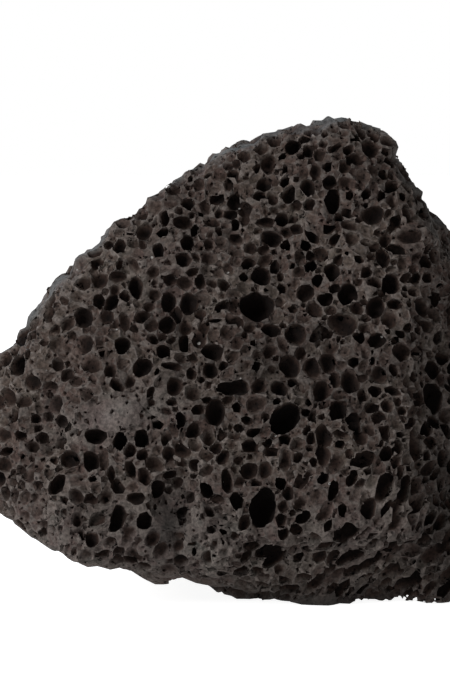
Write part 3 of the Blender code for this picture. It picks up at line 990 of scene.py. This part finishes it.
points, triangles = GRID_LOW + CELL * vertices, faces
for number, (name, kept) in enumerate(KEPT_TRIANGLES.items()):
    melts = region(points) == number
    before, points, triangles = thinned(points, triangles, melts, kept)
    lap(f"{name}: {before} triangles before, {len(triangles)} left in all")
everywhere = np.ones(len(points), bool)
points, triangles = thinned(points, triangles, everywhere, ALL_TRIANGLES)[1:]
lap(f"{len(triangles)} triangles")

# %% [markdown]
# ### Pinholes
#
# Holes of up to a millimetre fill the walls between the cells. They are too fine for the
# grid of samples, so they are pressed into the thinned mesh. A vertex on a fairly flat spot is
# chosen. Round it a rim of new vertices is laid, all at the same distance, and the vertex itself
# is pushed inwards. Two chosen vertices may not be neighbours: each gets a random number, and
# only those whose number beats all their neighbours' are used.

# %% Neighbours, normals and crests of a mesh
def around(points, triangles):
    """For each vertex: its normal (the sum of its triangles' normals times their areas), how far
    it stands out from the mean of its neighbours against the mean distance to them, the least
    distance to a neighbour, and the number of neighbours."""
    a, b, c = points[triangles].transpose(1, 0, 2)
    normals = np.zeros_like(points, dtype=float)
    for corner in triangles.T:
        np.add.at(normals, corner, np.cross(b - a, c - a))
    normals = unit(normals + 1e-12)
    starts, ends = triangles.ravel(), np.roll(triangles, -1, axis=1).ravel()
    lengths = np.linalg.norm(points[ends] - points[starts], axis=1)
    count = np.bincount(starts, minlength=len(points))
    mean_length = np.bincount(starts, lengths, len(points)) / count
    mean = [np.bincount(starts, points[ends, axis], len(points)) / count for axis in range(3)]
    standing = ((points - np.stack(mean, -1)) * normals).sum(1) / mean_length
    least = np.full(len(points), np.inf)
    np.minimum.at(least, starts, lengths)
    np.minimum.at(least, ends, lengths)
    return normals, standing, least, count


nearest_neighbours = around(points, triangles)[2]
print(f"the nearest neighbour is {nearest_neighbours.mean():.2f} mm away on average")

# %% Choose vertices for pinholes
PINHOLE_SEED = 83
PINHOLE_FLAT = 0.20  # a vertex may stand out or lie back this much
PINHOLE_SIDES = 7  # and have this many neighbours
PINHOLE_RADII = (0.24, 0.50)
PINHOLE_WIDE = 0.66  # radius against the distance to the nearest neighbour
PINHOLE_DEEP = 1.5  # depth against radius
PINHOLE_BEHIND = 0.30  # rock that must be left behind it


def pinhole_vertices(points, triangles, wanted, eligible):
    """Which vertices become pinholes, with the way in and the radius for every vertex."""
    normals, standing, least, count = around(points, triangles)
    radii = np.clip(PINHOLE_WIDE * least, 0, PINHOLE_RADII[1])
    bottoms = points - normals * (PINHOLE_DEEP * radii + PINHOLE_BEHIND)[:, None]
    able = eligible & (np.abs(standing) < PINHOLE_FLAT) & (count <= PINHOLE_SIDES)
    able &= radii > PINHOLE_RADII[0]
    able &= read_between(solid, (bottoms - GRID_LOW) / CELL) < 0
    luck = np.random.default_rng(PINHOLE_SEED).random(len(points)) * able
    best = luck.copy()
    for step in (1, 2):
        ends = np.roll(triangles, -step, axis=1).ravel()
        np.maximum.at(best, triangles.ravel(), luck[ends])
    chosen = np.flatnonzero(able & (luck == best))
    chosen = chosen[np.argsort(-luck[chosen])][:wanted]
    return chosen, normals, radii


print(f"pinholes of {2 * PINHOLE_RADII[0]} to {2 * PINHOLE_RADII[1]} mm")

# %% Press the pinholes
PINHOLES = (1500, 350)  # at most so many at the front, and elsewhere
PINHOLE_SKIN = (-1.3, 0.7)  # only between these distances from the skin
PINHOLE_FLOOR = 1.0  # and above this height


def with_pinholes(points, triangles, chosen, normals, radii):
    """The mesh with each triangle that touches a chosen vertex split in three: one from the
    bottom of the pinhole to its rim, and two from the rim to the triangle's far side."""
    is_chosen = np.zeros(len(points), bool)
    is_chosen[chosen] = True
    corner = is_chosen[triangles]
    touched = corner.any(1)
    turned = triangles[touched]
    turn = (np.arange(3) + corner[touched].argmax(1)[:, None]) % 3
    middle, first, last = np.take_along_axis(turned, turn, 1).T
    spokes = np.concatenate([middle * len(points) + first, middle * len(points) + last])
    spokes, index = np.unique(spokes, return_inverse=True)
    centre, end = spokes // len(points), spokes % len(points)
    rim = points[centre] + unit(points[end] - points[centre]) * radii[centre][:, None]
    rim_first, rim_last = (len(points) + index.reshape(2, -1))
    new = np.concatenate([
        triangles[~touched],
        np.stack([middle, rim_first, rim_last], 1),
        np.stack([rim_first, first, last], 1),
        np.stack([rim_first, last, rim_last], 1),
    ])
    moved = points.copy()
    moved[chosen] -= normals[chosen] * PINHOLE_DEEP * radii[chosen][:, None]
    return np.concatenate([moved, rim]), new


samples = (points - GRID_LOW) / CELL
from_skin = read_between(body, samples)
allowed_here = (from_skin > PINHOLE_SKIN[0]) & (from_skin < PINHOLE_SKIN[1])
allowed_here &= points[:, 2] > PINHOLE_FLOOR
at_front = read_between(to_front, samples) > FRONT_FACING
bottoms = []
for wanted, where in zip(PINHOLES, (at_front, ~at_front)):
    eligible = np.zeros(len(points), bool)
    eligible[: len(where)] = where & allowed_here
    for earlier in bottoms:
        eligible[earlier] = False
    chosen, normals, radii = pinhole_vertices(points, triangles, wanted, eligible)
    points, triangles = with_pinholes(points, triangles, chosen, normals, radii)
    bottoms.append(chosen)
bottoms = np.concatenate(bottoms)
lap(f"{len(bottoms)} pinholes, {len(triangles)} triangles")

# %% [markdown]
# ### What the finish needs to know
#
# The finish depends on where a point lies: rims are rubbed and dusty and get a painted highlight,
# and the insides of holes get painted shade. A few numbers are stored with each vertex. Depth is
# its distance under the broken skin. Openness is the share of air around it, from a blurred copy
# of the field, near it and farther away: a rim has much air about it, the floor of a hole has little.
# Crest is how far it stands out from its neighbours. Another number says how pale its patch is, partly
# dust and partly painted bounce light on the lower front; another how much old grey crust and painted
# sheen lies on worn places that look up; and the last how much painted shade darkens it, at the foot,
# on the right flank, in the middle and in a shallow hollow.

# %% Numbers for the finish
NEAR_BLUR, WIDE_BLUR = 2, 5
EVERY_OTHER = 2  # the wide blur needs only every other sample
WORN_CRUST_AND_SHEEN = 0.95  # how much old grey crust and painted sheen lies where the stone is worn most
CRUST_AND_SHEEN_UPWARD = (0.0, 0.5)  # how far a place looks up where the crust and painted sheen start, and where they are full
CRUST_AND_SHEEN_FACING = (-0.12, 0.06)  # and the same for how far it looks to the front
PINHOLE_DEPTH = 1.5  # what the finish is told about the bottom of a pinhole, which it paints dark as shade
PINHOLE_OPEN = 0.2
near_air = blurred((solid > 0).astype(np.float32), NEAR_BLUR)
wide_air = blurred(near_air[::EVERY_OTHER, ::EVERY_OTHER, ::EVERY_OTHER], WIDE_BLUR)
samples = (points - GRID_LOW) / CELL
depth = -read_between(body, samples)
near_open = read_between(near_air, samples)
wide_open = read_between(wide_air, samples, EVERY_OTHER)
crest = around(points, triangles)[1]
# Old grey crust and painted sheen: paler grey where worn places look up, as if lit from the sky.
crust = WORN_CRUST_AND_SHEEN * read_between(worn, samples) * eased(*CRUST_AND_SHEEN_UPWARD, outward(points)[:, 2])
crust *= eased(*CRUST_AND_SHEEN_FACING, read_between(to_front, samples))
# Pale patches: partly dust, partly painted bounce light on the lower front.
dust = in_patches(points, DUST_AND_BOUNCE)
# Painted shade patches: darker at the foot, on the right flank, in the middle and in a shallow hollow.
stain = in_patches(points, STRENGTH, PAINTED_SHADE_PATCHES)
depth[bottoms] = np.maximum(depth[bottoms], 0) + PINHOLE_DEPTH
near_open[bottoms] = PINHOLE_OPEN
lap(f"openness {near_open.min():.2f} to {near_open.max():.2f}")

# %% [markdown]
# ### Uneven outlines
#
# Eggs cut by a plane leave neat ovals, but real cell mouths are squarish, three-cornered and
# pinched. Shifting every vertex by a smooth random vector pulls the ovals out of true. The
# shift dies out at the underside, so that the foot stays flat.

# %% Pull the vertices about
PULLS = ((12, 0.34), (5, 0.17))  # size of a patch in samples, pull in mm
PULL_SEED = 64
PULL_FREE = 2.5  # height from which the pull is full
fade = eased(0.0, PULL_FREE, points[:, 2])
shift = np.zeros_like(points)
for number, (factor, size) in enumerate(PULLS):
    shape = np.array(body.shape) // factor + 2
    lattice = np.random.default_rng(PULL_SEED + number).normal(size=(3, *shape))
    for axis in range(3):
        shift[:, axis] += size * read_between(lattice[axis], samples, factor)
points += shift * fade[:, None]
points[:, 2] = np.maximum(points[:, 2], 0)
print(f"vertices moved by up to {np.linalg.norm(shift, axis=1).max():.2f} mm")

# %% The stone as a Blender object
SHARP = math.radians(55)  # an edge that turns more than this stays sharp
mesh = new_mesh("lava_stone", points * MM, triangles)
STORED = {
    "depth": depth, "near_open": near_open, "wide_open": wide_open, "crest": crest, "dust": dust,
    "crust": crust, "stain": stain,
}
for name, values in STORED.items():
    layer = mesh.attributes.new(name, "FLOAT", "POINT")
    layer.data.foreach_set("value", values.astype(np.float32))
mesh.shade_smooth()
mesh.set_sharp_from_angle(angle=SHARP)
stone_piece = new_object("lava_stone", mesh)
print("size:", np.round(np.ptp(points, axis=0), 1), "mm")
lap("stone in place")

# %% [markdown]
# ## The finish
#
# Basalt is nearly black, with a warm grey-brown cast where weather and dust have dulled it. The
# shader is a plain Principled BSDF, rough and not metallic. What varies goes through small
# node groups with named inputs: fine pores, faint cells, and the colour of the rock by depth.

# %% Helpers for node groups
SOCKETS = {"value": "NodeSocketFloat", "colour": "NodeSocketColor", "vector": "NodeSocketVector"}


def new_group(name, inputs, outputs):
    """A shader node group with value, colour or vector sockets. Returns its tree, and the sockets
    that hold its inputs and outputs inside it."""
    tree = bpy.data.node_groups.new(name, "ShaderNodeTree")
    for in_out, sockets in (("INPUT", inputs), ("OUTPUT", outputs)):
        for socket, kind in sockets.items():
            tree.interface.new_socket(name=socket, in_out=in_out, socket_type=SOCKETS[kind])
    return tree, tree.nodes.new("NodeGroupInput").outputs, tree.nodes.new("NodeGroupOutput").inputs


def feed(socket, value):
    """Links another socket to this one, or sets its value."""
    if isinstance(value, bpy.types.NodeSocket):
        socket.id_data.links.new(value, socket)
    else:
        socket.default_value = value


def node(tree, kind, inputs, **settings):
    """A node with these settings, its inputs fed by name or number. Returns its outputs."""
    made = tree.nodes.new(kind)
    for name, value in settings.items():
        setattr(made, name, value)
    for name, value in inputs.items():
        feed(made.inputs[name], value)
    return made.outputs


def maths(tree, operation, *values):
    """One sum: the output of a Math node."""
    return node(tree, "ShaderNodeMath", dict(enumerate(values)), operation=operation)[0]


def ramp(tree, value, low, high):
    """0 where value is low, 1 where it is high, eased between."""
    inputs = {0: value, 1: low, 2: high}
    return node(tree, "ShaderNodeMapRange", inputs, interpolation_type="SMOOTHSTEP")[0]


def mixed(tree, share, first, second, blend="MIX"):
    """Two colours mixed by a share."""
    inputs = {0: share, 6: first, 7: second}
    return node(tree, "ShaderNodeMix", inputs, data_type="RGBA", blend_type=blend)[2]


def noise(tree, place, scale, detail, roughness):
    """The outputs of a Noise Texture."""
    inputs = {"Vector": place, "Scale": scale, "Detail": detail, "Roughness": roughness}
    return node(tree, "ShaderNodeTexNoise", inputs)


def cells(tree, place, scale, feature="F1"):
    """The outputs of a Voronoi Texture."""
    inputs = {"Vector": place, "Scale": scale, "Randomness": 1.0}
    return node(tree, "ShaderNodeTexVoronoi", inputs, feature=feature)


print("node helpers ready")

# %% [markdown]
# ### Fine pores and faint cells
#
# Below half a millimetre the foam goes on, too fine for the mesh. Cells of a Voronoi texture
# read as pores when only some of them are used, each with its own size, and each pore is painted dark
# as the shade inside a hole. The same texture at a larger scale, pulled about by noise, gives faint
# cells: each has its own tint, a pale seam round it, worn and partly a painted highlight, and a slight
# dish in it.

# %% Node group: fine pores
PORE_LEAST, PORE_SPREAD = 0.16, 0.22  # radius against the distance between two pores
PORE_EDGE = (1.0, 0.55)  # from here to here, against the radius, a pore comes in
pores, given, result = new_group(
    "fine_pores",
    {"Place": "vector", "Pores per metre": "value", "Share": "value"},
    {"Pore": "value"},
)
all_pores = cells(pores, given["Place"], given["Pores per metre"])
luck = node(pores, "ShaderNodeSeparateColor", {0: all_pores["Color"]})
size = maths(pores, "MULTIPLY_ADD", luck[1], PORE_SPREAD, PORE_LEAST)
pit = ramp(pores, maths(pores, "DIVIDE", all_pores["Distance"], size), *PORE_EDGE)
used = maths(pores, "LESS_THAN", luck[0], given["Share"])
feed(result["Pore"], maths(pores, "MULTIPLY", pit, used))
print("fine pores:", len(pores.nodes), "nodes")

# %% Node group: faint cells
WOBBLES_PER_METRE = 500.0
WOBBLE = (0.0012, 0.0012, 0.0012)  # how far the noise pulls a place along each axis, in metres
SEAM_EDGE = (0.09, 0.02)  # distances to a cell's edge, against the distance between two cells
DISH_EDGE = (0.0, 0.30)
faint_cells, given, result = new_group(
    "faint_cells",
    {"Place": "vector", "Cells per metre": "value"},
    {"Tint": "value", "Seam": "value", "Dish": "value"},
)
wobble = noise(faint_cells, given["Place"], WOBBLES_PER_METRE, 2.0, 0.5)["Color"]
shifted = node(faint_cells, "ShaderNodeVectorMath", {0: wobble, 1: WOBBLE, 2: given["Place"]},
               operation="MULTIPLY_ADD")[0]
whole = cells(faint_cells, shifted, given["Cells per metre"])
edges = cells(faint_cells, shifted, given["Cells per metre"], "DISTANCE_TO_EDGE")
feed(result["Tint"], node(faint_cells, "ShaderNodeSeparateColor", {0: whole["Color"]})[0])
feed(result["Seam"], ramp(faint_cells, edges["Distance"], *SEAM_EDGE))
feed(result["Dish"], ramp(faint_cells, edges["Distance"], *DISH_EDGE))
print("faint cells:", len(faint_cells.nodes), "nodes")

# %% [markdown]
# ### The colour of the rock
#
# The colour is built up in coats, from the broken wall tops, partly dusty and partly lightened as
# painted bounce light, through rims with wear and a painted highlight, old crust with painted
# sheen and patches of painted shade, to the darkest thing, the painted shade inside a deep hole.
# Each coat has a share that a stored number gives, and a later coat covers the ones before it. A
# cloudy tone and a fine grain are multiplied in at the end.

# %% Node group: basalt colour
COATS = {
    "Wall top": (0.060, 0.045, 0.038, 1.0),
    # partly dust, partly painted bounce light on the lower front
    "Pale dust": (0.125, 0.114, 0.109, 1.0),
    # wear, and a painted highlight along crests
    "Rubbed rim": (0.105, 0.088, 0.079, 1.0),
    # grey crust, and a painted sheen of the sky on worn places that look up
    "Old crust": (0.070, 0.070, 0.068, 1.0),
    # painted shade at the foot, on the right flank, in the middle and in a shallow hollow
    "Damp grey": (0.0125, 0.0108, 0.0100, 1.0),
    # the walls' own reddish brown, and painted shade in narrow and deeper places
    "Brown wall": (0.024, 0.0135, 0.0100, 1.0),
    # near black: painted shade inside deep holes
    "Deep wall": (0.0055, 0.0026, 0.0018, 1.0),
}
WARM_HUE = (1.11, 0.95, 0.94, 1.0)  # the wall tops drift between these two
COOL_HUE = (0.89, 0.95, 0.92, 1.0)
CLOUDS_PER_METRE, GRAINS_PER_METRE = 130.0, 1900.0
# The stored number at which a coat starts, and at which it is full.
BROWN_SHADE_DEPTH, BROWN_SHADE_OPEN = (0.5, 1.3), (0.44, 0.26)
DEEP_SHADE_DEPTH, DEEP_SHADE_OPEN = (0.9, 2.0), (0.52, 0.26)
RIM_CREST = (0.06, 0.34)
SEAM_WEAR_AND_HIGHLIGHT = 0.45  # how much of a rim's wear and painted highlight the seam of a faint cell gets
MOST_DUST_AND_BOUNCE = 0.8
HUE_CLOUDS = (0.38, 0.62)
HUE_BY_CLOUD, HUE_BY_CELL = 0.55, 0.45  # what decides the hue
TONE_NOISE = (0.3, 0.7)
CLOUD_TONE, GRAIN_TONE = (0.4, 0.80), (0.7, 0.65)  # what the noise adds, and the least tone
ROUGHNESS = (0.04, 0.90)  # what the painted deep shade adds, and the least
STORED_AS = {name: name.replace("_", " ").capitalize() for name in STORED}
basalt, given, result = new_group(
    "basalt_colour",
    {"Place": "vector"} | dict.fromkeys([*STORED_AS.values(), "Tint", "Seam"], "value")
    | dict.fromkeys(COATS, "colour"),
    {"Colour": "colour", "Roughness": "value"},
)
# Partly the walls' own brown, partly painted shade: darker in narrow places and deeper down.
brown_and_shade = maths(basalt, "MAXIMUM", ramp(basalt, given["Depth"], *BROWN_SHADE_DEPTH),
              ramp(basalt, given["Near open"], *BROWN_SHADE_OPEN))
# Painted shade: near black deep in holes and where little air is around.
deep_painted_shade = maths(basalt, "MAXIMUM", ramp(basalt, given["Depth"], *DEEP_SHADE_DEPTH),
             ramp(basalt, given["Wide open"], *DEEP_SHADE_OPEN))
clouds = noise(basalt, given["Place"], CLOUDS_PER_METRE, 1.0, 0.5)["Fac"]
drift = maths(basalt, "MULTIPLY_ADD", ramp(basalt, clouds, *HUE_CLOUDS), HUE_BY_CLOUD,
              maths(basalt, "MULTIPLY", given["Tint"], HUE_BY_CELL))
hue = mixed(basalt, drift, WARM_HUE, COOL_HUE)
dust_and_bounce_share = maths(basalt, "MULTIPLY", given["Dust"], MOST_DUST_AND_BOUNCE)
colour = mixed(basalt, dust_and_bounce_share, given["Wall top"], given["Pale dust"])
colour = mixed(basalt, 1.0, colour, hue, "MULTIPLY")
# Rims are lighter from wear and from a painted highlight on crests and cell seams.
rim = maths(basalt, "MAXIMUM", ramp(basalt, given["Crest"], *RIM_CREST),
            maths(basalt, "MULTIPLY", given["Seam"], SEAM_WEAR_AND_HIGHLIGHT))
rim = maths(basalt, "MULTIPLY", rim, maths(basalt, "SUBTRACT", 1.0, brown_and_shade))
shares = {
    "Rubbed rim": rim, "Old crust": given["Crust"], "Damp grey": given["Stain"],
    "Brown wall": brown_and_shade, "Deep wall": deep_painted_shade,
}
for coat, share in shares.items():
    colour = mixed(basalt, share, colour, given[coat])
cloud = noise(basalt, given["Place"], CLOUDS_PER_METRE, 4.0, 0.6)["Fac"]
grain = noise(basalt, given["Place"], GRAINS_PER_METRE, 2.0, 0.6)["Fac"]
cloud, grain = ramp(basalt, cloud, *TONE_NOISE), ramp(basalt, grain, *TONE_NOISE)
tone = maths(basalt, "MULTIPLY", maths(basalt, "MULTIPLY_ADD", cloud, *CLOUD_TONE),
             maths(basalt, "MULTIPLY_ADD", grain, *GRAIN_TONE))
grey = node(basalt, "ShaderNodeCombineColor", {0: tone, 1: tone, 2: tone})[0]
feed(result["Colour"], mixed(basalt, 1.0, colour, grey, "MULTIPLY"))
feed(result["Roughness"], maths(basalt, "MULTIPLY_ADD", deep_painted_shade, *ROUGHNESS))
print("basalt colour:", len(basalt.nodes), "nodes")

# %% The material
# Pale specks: partly crystals, partly painted glints.
CRYSTAL_GLINT = (0.30, 0.285, 0.27, 1.0)
PORE_SHADE = 0.75  # how far a pore is painted dark as the shade in a hole, hiding the colour under it
BUMP_HEIGHT = 0.00028  # in metres, for a bump of 1
PORE_BUMP, GRAIN_BUMP, DISH_BUMP = -0.9, 0.35, -0.45
CELLS_PER_METRE, BUMPS_PER_METRE = 420.0, 2600.0
FINE_PORES = {"Pores per metre": 1150.0, "Share": 0.34}
CRYSTAL_GLINTS = {"Pores per metre": 1000.0, "Share": 0.004}  # pale specks, partly crystals and partly painted glints, placed as pores are


def placed(tree, group, inputs):
    """A node group put into the material, its inputs fed. Returns its outputs."""
    return node(tree, "ShaderNodeGroup", inputs, node_tree=group)


material = bpy.data.materials.new("dark_basalt_rough")
material.use_nodes = True
tree = material.node_tree
shader = tree.nodes["Principled BSDF"].inputs
place = tree.nodes.new("ShaderNodeTexCoord").outputs["Object"]
stored = {
    socket: node(tree, "ShaderNodeAttribute", {}, attribute_name=name)["Fac"]
    for name, socket in STORED_AS.items()
}
faint = placed(tree, faint_cells, {"Place": place, "Cells per metre": CELLS_PER_METRE})
fine = placed(tree, pores, {"Place": place} | FINE_PORES)
crystal_glints = placed(tree, pores, {"Place": place} | CRYSTAL_GLINTS)
seen_cells = {"Place": place, "Tint": faint["Tint"], "Seam": faint["Seam"]}
rock = placed(tree, basalt, seen_cells | stored | COATS)
# Pores get the deep-hole colour: painted shade.
pores_painted_dark = mixed(tree, maths(tree, "MULTIPLY", fine["Pore"], PORE_SHADE), rock["Colour"],
              COATS["Deep wall"])
feed(shader["Base Color"], mixed(tree, crystal_glints["Pore"], pores_painted_dark, CRYSTAL_GLINT))
feed(shader["Roughness"], rock["Roughness"])
feed(shader["Specular IOR Level"], 0.2)
height = maths(tree, "MULTIPLY", fine["Pore"], PORE_BUMP)
grains = noise(tree, place, BUMPS_PER_METRE, 3.0, 0.7)["Fac"]
height = maths(tree, "MULTIPLY_ADD", grains, GRAIN_BUMP, height)
height = maths(tree, "MULTIPLY_ADD", faint["Dish"], DISH_BUMP, height)
bump = node(tree, "ShaderNodeBump", {"Strength": 1.0, "Distance": BUMP_HEIGHT, "Height": height})
feed(shader["Normal"], bump["Normal"])
mesh.materials.append(material)
lap("material")

# %% Fit the piece to the frame
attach(stone_piece, "root")
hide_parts("lava_rock")
print("lava_stone rides root and stands for lava_rock")

# %% [markdown]
# ## The set
#
# The stone stands on a plain white floor. A lamp at the left in front lights the face, a cool
# one at the left behind draws a thin bright line along the left shoulder, and the right flank
# turns away from both and goes dark. The floor and the sky glow: brightly where the camera sees
# them, so that they look white, and less as light on the stone.

# %% Floor, world and lamps
AIM = Vector((-0.00357, 0.0, 0.044375))  # what the lamps and the camera look at


def new_lamp(name, place, power, size, colour=(1.0, 1.0, 1.0)):
    """A square lamp that looks at the stone."""
    lamp = bpy.data.lights.new(name, "AREA")
    lamp.energy, lamp.size, lamp.color = power, size, colour
    holder = new_object(name, lamp)
    holder.location = place
    holder.rotation_euler = (AIM - Vector(place)).to_track_quat("-Z", "Y").to_euler()
    return holder


def glow(tree, unseen, seen):
    """A strength that is higher for what the camera sees than for the light that is given."""
    to_camera = tree.nodes.new("ShaderNodeLightPath").outputs["Is Camera Ray"]
    return maths(tree, "MULTIPLY_ADD", to_camera, seen - unseen, unseen)


FLOOR_REACH = 6.0
FLOOR_GLOW = (0.44, 0.92)  # as light on the stone, and as the camera sees it
SKY_GLOW = (0.24, 1.0)
floor_mesh = bpy.data.meshes.new("floor")
floor_corners = [(FLOOR_REACH * x, FLOOR_REACH * y, 0) for x, y in ((-1, -1), (1, -1), (1, 1), (-1, 1))]
floor_mesh.from_pydata(floor_corners, [], [(0, 1, 2, 3)])
floor = new_object("floor", floor_mesh)
pale = bpy.data.materials.new("pale_floor")
pale.use_nodes = True
floor_shader = pale.node_tree.nodes["Principled BSDF"].inputs
feed(floor_shader["Base Color"], (0.5, 0.5, 0.5, 1.0))
feed(floor_shader["Roughness"], 0.9)
feed(floor_shader["Emission Color"], (1.0, 1.0, 1.0, 1.0))
feed(floor_shader["Emission Strength"], glow(pale.node_tree, *FLOOR_GLOW))
floor_mesh.materials.append(pale)
floor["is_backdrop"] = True

key = new_lamp("key", (-0.50, -0.38, 0.31), 3.25, 0.22)
edge_light = new_lamp("edge_light", (-0.30, 0.40, 0.50), 3.5, 0.30, (0.8, 0.9, 1.0))
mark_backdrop(key, edge_light)

world = bpy.data.worlds.new("pale_sky")
bpy.context.scene.world = world
world.use_nodes = True
background = world.node_tree.nodes["Background"].inputs
feed(background["Color"], (1.0, 1.0, 1.0, 1.0))
feed(background["Strength"], glow(world.node_tree, *SKY_GLOW))
bpy.context.scene.view_settings.view_transform = "Standard"
print("floor, two lamps and the sky")

# %% Camera
CAMERA_RISE = math.radians(4.0)
CAMERA_DISTANCE = 0.5
SEEN_HEIGHT = 0.12054  # of what lies at that distance
SENSOR = 24.0
back = Vector((0.0, -math.cos(CAMERA_RISE), math.sin(CAMERA_RISE)))
camera_data = bpy.data.cameras.new("camera")
camera_data.sensor_fit = "VERTICAL"
camera_data.sensor_height = SENSOR
camera_data.lens = SENSOR * CAMERA_DISTANCE / SEEN_HEIGHT
camera_data.clip_start = 0.01
camera = new_object("camera", camera_data)
camera.location = AIM + back * CAMERA_DISTANCE
camera.rotation_euler = (-back).to_track_quat("-Z", "Y").to_euler()
bpy.context.scene.camera = camera
print("lens:", round(camera_data.lens, 1), "mm")

# %% Measure the scene's box and finish
low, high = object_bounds()
lap("done")
